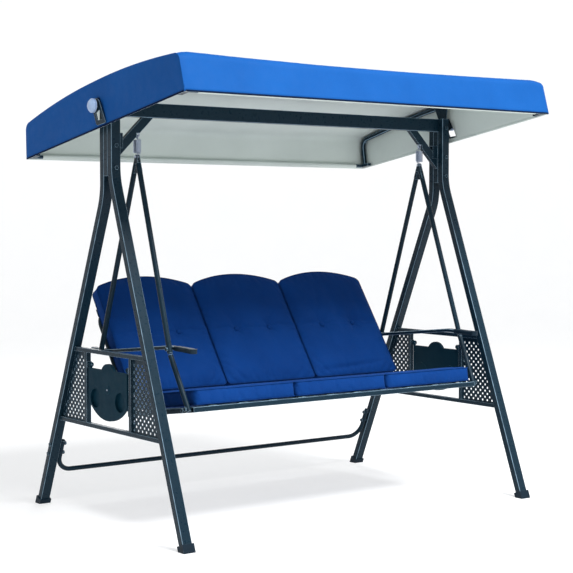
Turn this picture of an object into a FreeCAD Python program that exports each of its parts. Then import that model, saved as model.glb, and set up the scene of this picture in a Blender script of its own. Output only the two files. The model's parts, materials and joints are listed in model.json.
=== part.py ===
import FreeCAD, Part
import math
import os

import Sketcher

# Three-seat glider swing with a tilting canopy and two fold-down side trays.
# Millimetres. X runs to the right seen from the front, -Y is the front, +Z is up.
# The origin lies on the floor under the swing's pivot line.

V = FreeCAD.Vector
X, Y, Z = V(1, 0, 0), V(0, 1, 0), V(0, 0, 1)
LEFT, RIGHT = -1, 1
FRONT, REAR = -1, 1
SIDES = {"left": LEFT, "right": RIGHT}

SIZES = {
    # stand: two A-frames of rectangular tube joined by a beam
    "frame_half_spacing": 850,
    "leg_width": 42,
    "leg_depth": 31,
    "leg_corner": 5,
    "tube_wall": 1.5,
    "leg_bend_radius": 250,
    "front_foot_y": -537,
    "rear_foot_y": 587,
    "front_bend_z": 1347,
    "rear_bend_z": 1279,
    "leg_top_z": 1641,
    "leg_end_z": 10,
    "foot_width": 50,
    "foot_depth": 39,
    "foot_height": 27,
    "post_depth": 30,
    "post_bottom_z": 1355,
    "beam_height": 57,
    "beam_half_length": 866,
    "plug_length": 24,
    # knee braces, and the eyes that carry the springs
    "brace_width": 20,
    "brace_height": 34,
    "brace_low_z": 1448,
    "brace_low_x": 799,
    "brace_bracket_width": 26,
    "spring_half_spacing": 730,
    "spring_pivot_z": 1509,
    "spring_wire": 4,
    "coil_wire": 4.2,
    "eye_wire": 7,
    "eye_radius": 8,
    "hook_radius": 6.2,
    "coil_radius": 14,
    "coil_low_z": 1447,
    "coil_high_z": 1496,
    "coil_turns": 11,
    # hangers: a V of round tube on each side
    "hanger_pivot_z": 1432,
    "hanger_tube": 21,
    "hanger_half_spread": 742,
    "hanger_foot_z": 686,
    "hanger_rear_z": 648,
    "hanger_front_y": -255,
    "hanger_rear_y": 262,
    "ear_radius": 8,
    "pin_diameter": 7,
    # seat frame, tilted back
    "seat_front_y": -366,
    "seat_front_z": 482,
    "seat_tilt": 8.2,
    "seat_half_width": 716,
    "rail_width": 25,
    "rail_height": 20,
    "rear_rail_y": 455,
    "side_rail_end": 477,
    "slat_width": 36,
    "slat_thickness": 2,
    # backrest, reclined
    "back_base_y": 100,
    "back_base_z": 506,
    "back_recline": 35,
    "back_tube": 22,
    "back_half_width": 690,
    "back_foot": -61,
    "back_top": 421,
    "back_bend": 70,
    # cushions: three seat pads and three arched back pads
    "pad_half_width": 700,
    "pad_seam": 233,
    "pad_gap": 1.5,
    "seat_pad_depth": 468,
    "seat_pad_thickness": 63,
    "back_pad_thickness": 60,
    "back_pad_side": 500,
    "back_pad_crest": 547,
    "pad_edge_radius": 16,
    "button_radius": 11,
    "button_offset": 87,
    "button_height": 265,
    # armrests
    "arm_width": 28,
    "arm_height": 15,
    "grip_width": 31.2,
    "grip_height": 18.2,
    "grip_length": 112,
    "arm_half_spacing": 715.5,
    "arm_bend": 260,
    "post_tube": 20,
    # fold-down trays and the perforated panels beside them
    "tray_bar_height": 16,
    "tray_bar_width": 20,
    "tray_top_z": 672,
    "tray_low_z": 378,
    "upright_inner": 164,
    "tray_centre_y": 16,
    "tray_half_width": 149,
    "tray_edge_z": 605,
    "tray_side_z": 480,
    "tray_arc_z": 409,
    "tray_axis_z": 617,
    "tray_thickness": 12,
    "cup_radius": 38,
    "cup_depth": 12,
    "cup_offset": 96,
    "cup_z": 490,
    "panel_thickness": 1.5,
    "panel_hole": 9,
    "panel_row": 13.6,
    "panel_column": 29,
    # rear stabiliser
    "stabiliser_tube": 19.5,
    "stabiliser_x": 816,
    "stabiliser_bend": 64,
    "stabiliser_low_z": 143,
    "stabiliser_end_z": 276,
    # canopy, tilted front edge up
    "canopy_z": 1600,
    "canopy_tilt": 9.05,
    "canopy_half_width": 905,
    "canopy_front": -616,
    "canopy_rear": 620,
    "canopy_roof": 127,
    "canopy_shoulder": 89,
    "canopy_bow": 77,
    "canopy_knee": 52,
    "canopy_hem": -66,
    "fabric_thickness": 3,
    "arm_tube": 20,
    "canopy_arm_x": 887,
    "canopy_arm_roof": 101,
    "hem_bar_tube": 16,
    "tilt_pivot_z": 1620,
    "stud_diameter": 10,
    "knob_radius": 27,
    "knob_length": 31,
    # fasteners
    "bolt_diameter": 8,
    "bolt_head": 14,
    "running_gap": 0.05,
}


def make_sheet(document):
    """Write the driving dimensions into a spreadsheet, one aliased cell each."""
    table = document.addObject("Spreadsheet::Sheet", "Sizes")
    for row, (alias, value) in enumerate(SIZES.items(), start=1):
        table.set(f"A{row}", alias)
        table.set(f"B{row}", str(value))
        table.setAlias(f"B{row}", alias)
    document.recompute()
    return table


doc = FreeCAD.newDocument("GliderSwing")
sheet = make_sheet(doc)
parts = []


def size(alias):
    """One driving dimension, read from the sheet."""
    return float(sheet.get(alias))


def keep(item, label):
    """Name a finished sub-part and list it for export."""
    item.Label = label
    parts.append(item)
    return item


def frame_at(origin, x_axis, y_axis):
    """Placement whose local X and Y point along two given world directions."""
    rotation = FreeCAD.Rotation(x_axis, y_axis, x_axis.cross(y_axis), "XYZ")
    return FreeCAD.Placement(origin, rotation)


def tilted(origin, degrees):
    """Placement turned about the X axis."""
    return FreeCAD.Placement(origin, FreeCAD.Rotation(X, degrees))


# ------------------------------------------------------------ sketch helpers

def plane_of(body, role):
    """One of a body's own origin planes."""
    return [item for item in body.Origin.OriginFeatures if item.Role == role][0]


def new_body(name, placement=None):
    """An empty body, already in its place."""
    body = doc.addObject("PartDesign::Body", name)
    if placement:
        body.Placement = placement
    return body


def new_sketch(body, name, role="XY_Plane", offset=0.0):
    """A sketch on one of the body's origin planes, or parallel to it."""
    sketch = body.newObject("Sketcher::SketchObject", name)
    sketch.AttachmentSupport = [(plane_of(body, role), "")]
    sketch.MapMode = "FlatFace"
    sketch.AttachmentOffset = FreeCAD.Placement(V(0, 0, offset), FreeCAD.Rotation())
    return sketch


def bind(sketch, index, name, expression):
    """Name a sketch dimension and drive it from the sheet."""
    sketch.renameConstraint(index, name)
    sketch.setExpression(f"Constraints.{name}", expression)


def add_ring(sketch, name, radius, expression):
    """A circle about the sketch's origin with a driven radius."""
    circle = sketch.addGeometry(Part.Circle(V(0, 0, 0), Z, radius), False)
    sketch.addConstraint(Sketcher.Constraint("Coincident", circle, 3, -1, 1))
    index = sketch.addConstraint(Sketcher.Constraint("Radius", circle, radius))
    bind(sketch, index, name, expression)


def add_rounded_box(sketch, name, wide, tall, radius, wide_by, tall_by):
    """A rounded rectangle centred on the sketch's origin; its two sizes are driven."""
    half_w, half_t = wide / 2, tall / 2
    in_w, in_t = half_w - radius, half_t - radius
    runs = [
        (V(-in_w, -half_t, 0), V(in_w, -half_t, 0), V(in_w, -in_t, 0)),
        (V(half_w, -in_t, 0), V(half_w, in_t, 0), V(in_w, in_t, 0)),
        (V(in_w, half_t, 0), V(-in_w, half_t, 0), V(-in_w, in_t, 0)),
        (V(-half_w, in_t, 0), V(-half_w, -in_t, 0), V(-in_w, -in_t, 0)),
    ]
    lines, arcs = [], []
    for turn, (start, end, centre) in enumerate(runs):
        lines.append(sketch.addGeometry(Part.LineSegment(start, end), False))
        circle = Part.Circle(centre, Z, radius)
        begin = math.radians(-90 + 90 * turn)
        arc = Part.ArcOfCircle(circle, begin, begin + math.pi / 2)
        arcs.append(sketch.addGeometry(arc, False))
    for turn in range(4):
        after = lines[(turn + 1) % 4]
        sketch.addConstraint(Sketcher.Constraint("Tangent", lines[turn], 2, arcs[turn], 1))
        sketch.addConstraint(Sketcher.Constraint("Tangent", arcs[turn], 2, after, 1))
        flat = "Horizontal" if turn % 2 == 0 else "Vertical"
        sketch.addConstraint(Sketcher.Constraint(flat, lines[turn]))
    for turn in range(1, 4):
        sketch.addConstraint(Sketcher.Constraint("Equal", arcs[0], arcs[turn]))
    sketch.addConstraint(Sketcher.Constraint("Radius", arcs[0], radius))
    across = Sketcher.Constraint("DistanceX", lines[3], 1, lines[1], 1, wide)
    bind(sketch, sketch.addConstraint(across), name + "_wide", wide_by)
    upward = Sketcher.Constraint("DistanceY", lines[0], 1, lines[2], 2, tall)
    bind(sketch, sketch.addConstraint(upward), name + "_tall", tall_by)
    sketch.addConstraint(Sketcher.Constraint("Symmetric", lines[1], 1, lines[3], 1, -1, 1))


def add_outline(sketch, points):
    """A closed outline; each entry is a corner, or (through, end) for an arc."""
    last = points[-1]
    start = last[1] if isinstance(last, tuple) else last
    for entry in points:
        if isinstance(entry, tuple):
            curve = Part.Arc(start, entry[0], entry[1])
            start = entry[1]
        else:
            curve = Part.LineSegment(start, entry)
            start = entry
        sketch.addGeometry(curve, False)


def add_path(sketch, runs, radius_by):
    """Straight runs joined by tangent bends, from the origin along +Y.

    Each run is (length, turn in degrees, bend radius); a positive turn is to the left.
    """
    here = V(0, 0, 0)
    heading = math.pi / 2
    for number, (length, turn, radius) in enumerate(runs):
        ahead = V(math.cos(heading), math.sin(heading), 0)
        corner = here + ahead * length
        sketch.addGeometry(Part.LineSegment(here, corner), False)
        here = corner
        if not turn:
            continue
        side = math.copysign(1, turn)
        centre = here + V(-math.sin(heading), math.cos(heading), 0) * radius * side
        spots = []
        for share in (0.5, 1.0):
            angle = heading + math.radians(turn) * share
            spots.append(centre - V(-math.sin(angle), math.cos(angle), 0) * radius * side)
        arc = sketch.addGeometry(Part.Arc(here, spots[0], spots[1]), False)
        index = sketch.addConstraint(Sketcher.Constraint("Radius", arc, radius))
        bind(sketch, index, f"bend_{number}", radius_by)
        here = spots[1]
        heading += math.radians(turn)


# -------------------------------------------------------------- solid helpers

def bent_tube(name, placement, runs, radius_by, section):
    """A body swept along a path; section(sketch) draws the hollow profile."""
    body = new_body(name, placement)
    path = new_sketch(body, name + "_path")
    add_path(path, runs, radius_by)
    profile = new_sketch(body, name + "_profile", "XZ_Plane")
    section(profile)
    sweep = body.newObject("PartDesign::AdditivePipe", name + "_sweep")
    sweep.Profile = (profile, [""])
    sweep.Spine = (path, [])
    doc.recompute()
    return body


def round_section(alias, solid=False):
    """Profile of a round tube whose outer diameter is one cell."""
    def draw(sketch):
        outer = size(alias) / 2
        add_ring(sketch, "outer", outer, f"Sizes.{alias} / 2")
        if not solid:
            inner = outer - size("tube_wall")
            add_ring(sketch, "inner", inner, f"Sizes.{alias} / 2 - Sizes.tube_wall")
    return draw


def box_section(wide_alias, tall_alias, corner):
    """Profile of a rectangular tube: wide lies in the path's plane, tall across it."""
    def draw(sketch):
        wall = size("tube_wall")
        wide, tall = size(wide_alias), size(tall_alias)
        wide_by, tall_by = f"Sizes.{wide_alias}", f"Sizes.{tall_alias}"
        add_rounded_box(sketch, "outer", wide, tall, corner, wide_by, tall_by)
        inner_corner = max(corner - wall, 0.6)
        inner_wide_by = wide_by + " - 2 * Sizes.tube_wall"
        inner_tall_by = tall_by + " - 2 * Sizes.tube_wall"
        inner_wide, inner_tall = wide - 2 * wall, tall - 2 * wall
        add_rounded_box(sketch, "inner", inner_wide, inner_tall, inner_corner,
                        inner_wide_by, inner_tall_by)
    return draw


def straight_tube(name, start, end, x_axis, section):
    """A body padded from start to end with the drawn hollow profile."""
    run = end - start
    along = V(run).normalize()
    rotation = FreeCAD.Rotation(x_axis, along.cross(x_axis), along, "ZXY")
    body = new_body(name, FreeCAD.Placement(start, rotation))
    profile = new_sketch(body, name + "_profile")
    section(profile)
    pad = body.newObject("PartDesign::Pad", name + "_pad")
    pad.Profile = profile
    pad.Length = run.Length
    doc.recompute()
    return body


def padded_outline(name, placement, points, thickness, thickness_by, offset=0.0, middle=False):
    """A body padded from a closed outline in its local XY plane."""
    body = new_body(name, placement)
    sketch = new_sketch(body, name + "_outline", "XY_Plane", offset)
    add_outline(sketch, points)
    pad = body.newObject("PartDesign::Pad", name + "_pad")
    pad.Profile = sketch
    pad.Length = thickness
    pad.Midplane = middle
    pad.setExpression("Length", thickness_by)
    doc.recompute()
    return body


def rod(name, start, end, radius, radius_by):
    """A plain round rod between two points."""
    item = doc.addObject("Part::Cylinder", name)
    run = end - start
    item.Radius = radius
    item.Height = run.Length
    item.setExpression("Radius", radius_by)
    item.Placement = FreeCAD.Placement(start, FreeCAD.Rotation(Z, run))
    return item


def slab(name, low, high, placement=None):
    """A box between two corners of a local frame."""
    item = doc.addObject("Part::Box", name)
    item.Length, item.Width, item.Height = (high - low).x, (high - low).y, (high - low).z
    local = FreeCAD.Placement(low, FreeCAD.Rotation())
    item.Placement = placement.multiply(local) if placement else local
    return item


def ring(name, centre, normal, major_by, minor_by, major, minor):
    """A torus about a centre."""
    item = doc.addObject("Part::Torus", name)
    item.Radius1 = major
    item.Radius2 = minor
    item.setExpression("Radius1", major_by)
    item.setExpression("Radius2", minor_by)
    item.Placement = FreeCAD.Placement(centre, FreeCAD.Rotation(Z, normal))
    return item


def joined(name, items):
    """Weld several objects into one solid."""
    fuse = doc.addObject("Part::MultiFuse", name)
    fuse.Shapes = items
    fuse.Refine = False
    doc.recompute()
    return fuse


def cut(name, base, tools):
    """Take one or more tools away from a base."""
    tool = tools[0] if len(tools) == 1 else joined(name + "_tools", tools)
    result = doc.addObject("Part::Cut", name)
    result.Base = base
    result.Tool = tool
    result.Refine = False
    doc.recompute()
    return result


def group(name, items):
    """Several separate solids of one kind kept in one node."""
    bundle = doc.addObject("Part::Compound", name)
    bundle.Links = items
    doc.recompute()
    return bundle


def holes_for(name, bolts):
    """Clearance drills for a list of (start, end) bolt axes."""
    radius_by = "Sizes.bolt_diameter / 2 + Sizes.running_gap"
    radius = size("bolt_diameter") / 2 + size("running_gap")
    tools = []
    for number, (start, end) in enumerate(bolts):
        tools.append(rod(f"{name}_drill_{number}", start, end, radius, radius_by))
    return tools


def hex_prism(name, centre, axis, across, height):
    """A hexagonal head or nut standing on a face."""
    item = doc.addObject("Part::Prism", name)
    item.Polygon = 6
    item.Circumradius = across / math.sqrt(3)
    item.Height = height
    item.setExpression("Circumradius", "Sizes.bolt_head / sqrt(3)")
    item.Placement = FreeCAD.Placement(centre, FreeCAD.Rotation(Z, axis))
    return item


HEAD_HEIGHT = 5.0
NUT_HEIGHT = 6.5


def bolt(name, start, end):
    """A bolt from its head's seat to its nut's seat, with head and nut outside them."""
    along = V(end - start).normalize()
    across = size("bolt_head")
    pieces = [
        rod(name + "_shank", start, end + along * NUT_HEIGHT, size("bolt_diameter") / 2,
            "Sizes.bolt_diameter / 2"),
        hex_prism(name + "_head", start, along * -1, across, HEAD_HEIGHT),
        hex_prism(name + "_nut", end, along, across, NUT_HEIGHT),
    ]
    return joined(name, pieces)


# ------------------------------------------------------------------- A-frames

HALF = size("frame_half_spacing")
LEG_INNER = HALF - size("leg_width") / 2
LEG_OUTER = HALF + size("leg_width") / 2
LEG_Y = (size("post_depth") + size("leg_depth")) / 2
POST_FACE = size("post_depth") / 2 + size("leg_depth")


def leg_slope(end):
    """Horizontal run per unit of height of a leg below its bend (signed)."""
    foot = size("front_foot_y") if end == FRONT else size("rear_foot_y")
    bend = size("front_bend_z") if end == FRONT else size("rear_bend_z")
    return (foot - end * LEG_Y) / bend


def leg_centre(end, height):
    """Y of a leg's centre line at a height below its bend."""
    foot = size("front_foot_y") if end == FRONT else size("rear_foot_y")
    return foot - leg_slope(end) * height


def leg_inner(end, height):
    """Y of a leg's inward face at a height below its bend."""
    slope = leg_slope(end)
    return leg_centre(end, height) - end * size("leg_depth") / 2 * math.hypot(1, slope)


def leg_up(end):
    """Unit vector up along a leg's lower run."""
    return V(0, -leg_slope(end), 1).normalize()


HEAD_BOLT_Z = (1385, 1470, 1600)


def head_bolts(side):
    """Axes of the bolts that clamp legs and post together, front to rear."""
    face = POST_FACE + 0.5
    return [(V(side * HALF, -face, z), V(side * HALF, face, z)) for z in HEAD_BOLT_Z]


def stabiliser_bolts(side):
    """Axes of the bolts that hold the stabiliser's ends to the rear legs."""
    axes = []
    for z in (222, 262):
        y = leg_centre(REAR, z)
        inner_x = size("stabiliser_x") - size("stabiliser_tube") / 2
        axes.append((V(side * LEG_OUTER, y, z), V(side * inner_x, y, z)))
    return axes


def make_leg(end, side, label):
    """One bent leg: slanted below, upright beside the post above."""
    slope = leg_slope(end)
    turn = math.degrees(math.atan(abs(slope)))
    radius = size("leg_bend_radius")
    tangent = radius * math.tan(math.radians(turn) / 2)
    bend_z = size("front_bend_z") if end == FRONT else size("rear_bend_z")
    start = V(side * HALF, leg_centre(end, size("leg_end_z")), size("leg_end_z"))
    lower = (bend_z - size("leg_end_z")) * math.hypot(1, slope) - tangent
    upper = size("leg_top_z") - bend_z - tangent
    up = leg_up(end)
    placement = frame_at(start, up.cross(X), up)
    runs = [(lower, -end * turn, radius), (upper, 0, 0)]
    section = box_section("leg_depth", "leg_width", size("leg_corner"))
    tube = bent_tube(label + "_tube", placement, runs, "Sizes.leg_bend_radius", section)
    bolts = head_bolts(side)
    if end == REAR:
        bolts = bolts + stabiliser_bolts(side)
    keep(cut(label + "_drilled", tube, holes_for(label, bolts)), label)


def make_foot(end, side, number):
    """A plastic shoe that slips over a leg's end and stands flat on the floor."""
    up = leg_up(end)
    wide, deep, tall = size("foot_width"), size("foot_depth"), size("foot_height")
    below = 20.0
    base = V(side * HALF, leg_centre(end, 0), 0)
    place = FreeCAD.Placement(base, FreeCAD.Rotation(Z, up))
    block = slab(f"foot_block_{number}", V(-wide / 2, -deep / 2, -below),
                 V(wide / 2, deep / 2, tall), place)
    leg_place = FreeCAD.Placement(
        V(side * HALF, leg_centre(end, size("leg_end_z")), size("leg_end_z")), FreeCAD.Rotation(Z, up))
    socket = slab(f"foot_socket_{number}",
                  V(-size("leg_width") / 2, -size("leg_depth") / 2, 0),
                  V(size("leg_width") / 2, size("leg_depth") / 2, tall * 2), leg_place)
    floor = slab(f"foot_floor_{number}", V(-2 * wide, -2 * wide, -2 * wide) + base,
                 V(2 * wide, 2 * wide, 0) + base)
    return cut(f"foot_{number}", block, [socket, floor])


def make_legs_and_feet():
    """Four legs, and the four shoes as one node."""
    feet = []
    for end, end_name in ((FRONT, "front"), (REAR, "rear")):
        for side_name, side in SIDES.items():
            make_leg(end, side, f"{end_name}_{side_name}_leg")
            feet.append(make_foot(end, side, len(feet)))
    keep(group("foot_caps", feet), "foot_caps")


# ---------------------------------------------------------------- head and beam

BEAM_LOW = size("leg_top_z") - size("beam_height")


def make_beam():
    """The rectangular beam, held between the legs at both ends, and its end plugs."""
    half = size("beam_half_length")
    mid = (BEAM_LOW + size("leg_top_z")) / 2
    section = box_section("post_depth", "beam_height", 4.0)
    tube = straight_tube("beam_tube", V(-half, 0, mid), V(half, 0, mid), Y, section)
    drills = []
    for side in SIDES.values():
        drills += holes_for(f"beam_{side}", head_bolts(side)[2:])
    keep(cut("beam_drilled", tube, drills), "top_beam")
    wall = size("tube_wall")
    plugs = []
    for side_name, side in SIDES.items():
        reach = half - size("plug_length")
        ease = wall + 0.8
        deep = size("post_depth") / 2 - ease
        low_x, high_x = sorted((side * reach, side * half))
        block = slab(f"plug_block_{side_name}", V(low_x, -deep, BEAM_LOW + ease),
                     V(high_x, deep, size("leg_top_z") - ease))
        stud = rod(f"plug_bore_{side_name}", V(low_x - 1, 0, size("tilt_pivot_z")),
                   V(high_x + 1, 0, size("tilt_pivot_z")), size("stud_diameter") / 2,
                   "Sizes.stud_diameter / 2")
        across = holes_for(f"plug_{side_name}", head_bolts(side)[2:])
        plugs.append(cut(f"plug_{side_name}", block, [stud] + across))
    keep(group("plugs", plugs), "beam_end_plugs")


def make_posts():
    """The upright posts between the legs, from the beam down to the fork of the legs."""
    posts = []
    for side_name, side in SIDES.items():
        section = box_section("post_depth", "leg_width", 3.0)
        tube = straight_tube(f"post_{side_name}", V(side * HALF, 0, size("post_bottom_z")),
                             V(side * HALF, 0, BEAM_LOW), Y, section)
        drills = holes_for(f"post_{side_name}", head_bolts(side)[:2])
        posts.append(cut(f"post_{side_name}_drilled", tube, drills))
    keep(group("posts", posts), "head_posts")
    bolts = []
    for side in SIDES.values():
        for number, (start, end) in enumerate(head_bolts(side)):
            bolts.append(bolt(f"head_bolt_{side}_{number}", start, end))
    keep(group("head_bolt_set", bolts), "head_bolts")


# -------------------------------------------------------- knee braces and eyes

def make_eye(side_name, side):
    """An eye under the brace; its lower wire is the swing's pivot line."""
    x = side * size("spring_half_spacing")
    centre_z = size("spring_pivot_z") + size("eye_radius")
    loop = ring(f"eye_ring_{side_name}", V(x, 0, centre_z), Y, "Sizes.eye_radius",
                "Sizes.eye_wire / 2", size("eye_radius"), size("eye_wire") / 2)
    shank = rod(f"eye_shank_{side_name}", V(x, 0, centre_z + size("eye_radius")),
                V(x, 0, centre_z + 32), size("eye_wire") / 2, "Sizes.eye_wire / 2")
    return joined(f"eye_{side_name}", [loop, shank])


def make_brace(side_name, side, eye):
    """A knee brace at 45 degrees from post to beam, notched around its eye."""
    low_x, low_z = size("brace_low_x"), size("brace_low_z")
    rise = BEAM_LOW - low_z
    across = size("brace_height") * math.sqrt(2)
    foot_z = low_z - (LEG_INNER - low_x)
    corners = [V(LEG_INNER, foot_z, 0), V(LEG_INNER, foot_z + across, 0),
               V(low_x - rise + across, BEAM_LOW, 0), V(low_x - rise, BEAM_LOW, 0)]
    if side == LEFT:
        corners = [V(-point.x, point.y, 0) for point in reversed(corners)]
    place = frame_at(V(0, 0, 0), X, Z)
    bar = padded_outline(f"brace_{side_name}", place, corners, size("brace_width"),
                         "Sizes.brace_width", 0.0, True)
    x = side * size("spring_half_spacing")
    notch = rod(f"brace_notch_{side_name}", V(x, 0, size("spring_pivot_z") - 30),
                V(x, 0, size("spring_pivot_z") + 14), 12.5, "Sizes.coil_radius - 1.5")
    keep(cut(f"brace_cut_{side_name}", bar, [notch, eye]), f"{side_name}_knee_brace")


def make_brace_bracket(side_name, side):
    """A folded plate that holds the brace's foot to the post."""
    low, high = 1463.0, 1521.0
    reach = 28.0
    half = size("brace_bracket_width") / 2
    x_low, x_high = sorted((side * LEG_INNER, side * (LEG_INNER - reach)))
    block = slab(f"bracket_block_{side_name}", V(x_low, -half, low), V(x_high, half, high))
    wall = size("brace_width") / 2
    hollow = slab(f"bracket_hollow_{side_name}", V(x_low - 1, -wall, low - 1),
                  V(x_high + 1, wall, high - 3))
    return cut(f"bracket_{side_name}", block, [hollow])


def make_braces():
    """Both knee braces, their brackets and the spring eyes."""
    eyes = {name: make_eye(name, side) for name, side in SIDES.items()}
    for name, side in SIDES.items():
        make_brace(name, side, eyes[name])
    brackets = []
    for name, side in SIDES.items():
        bracket = make_brace_bracket(name, side)
        brackets.append(bracket)
    keep(group("brackets", brackets), "brace_brackets")
    keep(group("eyes", list(eyes.values())), "spring_eyes")


# -------------------------------------------------------------------- springs

def make_hook(name, side, pivot_z, coil_z):
    """A closed wire loop round a pivot, with a short shank and a bar out to the coil."""
    x = side * size("spring_half_spacing")
    wire = size("spring_wire") / 2
    above = math.copysign(1, coil_z - pivot_z)
    rim_x = x - side * size("coil_radius")
    loop = ring(name + "_ring", V(x, 0, pivot_z), X, "Sizes.hook_radius",
                "Sizes.spring_wire / 2", size("hook_radius"), wire)
    shank = rod(name + "_shank", V(x, 0, pivot_z + above * size("hook_radius")),
                V(x, 0, coil_z + 0.6 * wire * above), 0.95 * wire, "0.95 * Sizes.spring_wire / 2")
    bar = rod(name + "_bar", V(x + side * 0.5 * wire, 0, coil_z), V(rim_x, 0, coil_z),
              0.8 * wire, "0.8 * Sizes.spring_wire / 2")
    return joined(name, [loop, shank, bar])


def make_coil(name, side):
    """A close-wound tension coil, hanging from the left-hand end of its wire."""
    radius, wire = size("coil_radius"), size("coil_wire") / 2
    low, high = size("coil_low_z"), size("coil_high_z")
    pitch = (high - low) / size("coil_turns")
    path = Part.Wire(Part.makeHelix(pitch, high - low, radius))
    circle = Part.Circle(V(radius, 0, 0), Y, wire)
    section = Part.Wire([circle.toShape()])
    item = doc.addObject("Part::Feature", name)
    item.Shape = path.makePipeShell([section], True, True)
    place = V(side * size("spring_half_spacing"), 0, low)
    turn = 180 if side == RIGHT else 0
    item.Placement = FreeCAD.Placement(place, FreeCAD.Rotation(Z, turn))
    return item


def make_springs():
    """Upper hooks, coils and lower hooks of both springs."""
    wire = size("spring_wire")
    upper, lower, coils = [], [], []
    for name, side in SIDES.items():
        over = size("coil_high_z") + wire + 0.2
        under = size("coil_low_z") - wire - 0.2
        upper.append(make_hook(f"upper_hook_{name}", side, size("spring_pivot_z"), over))
        lower.append(make_hook(f"lower_hook_{name}", side, size("hanger_pivot_z"), under))
        coils.append(make_coil(f"coil_{name}", side))
    keep(group("upper_hooks", upper), "spring_upper_hooks")
    keep(group("coils", coils), "spring_coils")
    keep(group("lower_hooks", lower), "spring_lower_hooks")


# -------------------------------------------------------------------- hangers

EAR_OFFSET = 4.2
EAR_THICKNESS = 3.0
FORK_Z = 1406.0
EAR_FOOT_Z = 1368.0


def hanger_point(side, end, height):
    """Centre of a hanger's front or rear tube at a height."""
    foot_y = size("hanger_front_y") if end == FRONT else size("hanger_rear_y")
    share = (size("hanger_pivot_z") - height) / (size("hanger_pivot_z") - size("hanger_foot_z"))
    x = size("spring_half_spacing") + share * (size("hanger_half_spread") - size("spring_half_spacing"))
    return V(side * x, foot_y * share, height)


def make_hanger(side_name, side):
    """A welded V of two tubes with a pair of ears for the pin at its top."""
    top = {end: hanger_point(side, end, FORK_Z) for end in (FRONT, REAR)}
    foot = {FRONT: hanger_point(side, FRONT, size("hanger_foot_z")),
            REAR: hanger_point(side, REAR, size("hanger_rear_z"))}
    pieces = []
    for end in (FRONT, REAR):
        pieces.append(straight_tube(f"hanger_{side_name}_{end}", top[end], foot[end], X,
                                    round_section("hanger_tube")))
    radius = size("ear_radius")
    pivot = size("hanger_pivot_z")
    flank = 34.0
    x = side * size("spring_half_spacing")
    outline = [V(-radius, pivot, 0), (V(0, pivot + radius, 0), V(radius, pivot, 0)),
               V(flank - 6, EAR_FOOT_Z + 8, 0), V(flank - 14, EAR_FOOT_Z, 0),
               V(-flank + 14, EAR_FOOT_Z, 0), V(-flank + 6, EAR_FOOT_Z + 8, 0)]
    for inner in (LEFT, RIGHT):
        start_x = x + inner * EAR_OFFSET if inner == RIGHT else x - EAR_OFFSET - EAR_THICKNESS
        place = frame_at(V(start_x, 0, 0), Y, Z)
        ear = padded_outline(f"ear_{side_name}_{inner + 1}", place, outline, EAR_THICKNESS,
                             f"{EAR_THICKNESS}")
        pieces.append(ear)
    drill = rod(f"ear_drill_{side_name}", V(x - 20, 0, pivot), V(x + 20, 0, pivot),
                size("pin_diameter") / 2 + size("running_gap"),
                "Sizes.pin_diameter / 2 + Sizes.running_gap")
    keep(cut(f"hanger_{side_name}_cut", joined(f"hanger_{side_name}", pieces), [drill]),
         f"{side_name}_hanger")


def make_hangers():
    """Both hangers and the pins that the springs carry."""
    pins = []
    for name, side in SIDES.items():
        make_hanger(name, side)
        x = side * size("spring_half_spacing")
        pivot = size("hanger_pivot_z")
        half = EAR_OFFSET + EAR_THICKNESS
        shank = rod(f"pin_shank_{name}", V(x - half, 0, pivot), V(x + half, 0, pivot),
                    size("pin_diameter") / 2, "Sizes.pin_diameter / 2")
        heads = []
        for end in (LEFT, RIGHT):
            start = V(x + end * half, 0, pivot)
            heads.append(rod(f"pin_head_{name}_{end + 1}", start, start + V(end * 3, 0, 0), 5.5,
                             "Sizes.pin_diameter / 2 + 2"))
        pins.append(joined(f"pin_{name}", [shank] + heads))
    keep(group("pins", pins), "hanger_pins")


# ----------------------------------------------------------------- seat frame

SEAT = tilted(V(0, size("seat_front_y"), size("seat_front_z")), -size("seat_tilt"))
BACK = tilted(V(0, size("back_base_y"), size("back_base_z")), 90 - size("back_recline"))


def in_frame(frame, point):
    """World position of a point given in a tilted frame."""
    return frame.multVec(point)


def frame_tube(name, frame, start, end, x_axis, section):
    """A straight tube between two points of a tilted frame."""
    world_x = frame.Rotation.multVec(x_axis)
    return straight_tube(name, in_frame(frame, start), in_frame(frame, end), world_x, section)


def make_rails():
    """Front, rear and side rails of the seat."""
    half, wide = size("seat_half_width"), size("rail_width")
    section = box_section("rail_width", "rail_height", 3.0)
    front = frame_tube("front_rail", SEAT, V(-half, 0, 0), V(half, 0, 0), Y, section)
    keep(front, "seat_front_rail")
    inner = half - wide
    rear_y = size("rear_rail_y")
    rear = frame_tube("rear_rail", SEAT, V(-inner, rear_y, 0), V(inner, rear_y, 0), Y, section)
    keep(rear, "seat_rear_rail")
    sides = []
    for name, side in SIDES.items():
        x = side * (half - wide / 2)
        tube = frame_tube(f"side_rail_{name}", SEAT, V(x, wide / 2, 0),
                          V(x, size("side_rail_end"), 0), X, section)
        sides.append(tube)
    keep(group("side_rails", sides), "seat_side_rails")


def slat_set(name, frame, columns, low_y, high_y, level):
    """Parallel flat bars in a tilted frame."""
    slats = []
    half = size("slat_width") / 2
    for number, x in enumerate(columns):
        bar = slab(f"{name}_{number}", V(x - half, low_y, level),
                   V(x + half, high_y, level + size("slat_thickness")), frame)
        bar.setExpression("Height", "Sizes.slat_thickness")
        bar.setExpression("Length", "Sizes.slat_width")
        slats.append(bar)
    return slats


def spread(count, half_width):
    """Evenly spread positions either side of the middle."""
    step = 2 * half_width / (count - 1)
    return [-half_width + step * number for number in range(count)]


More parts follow.
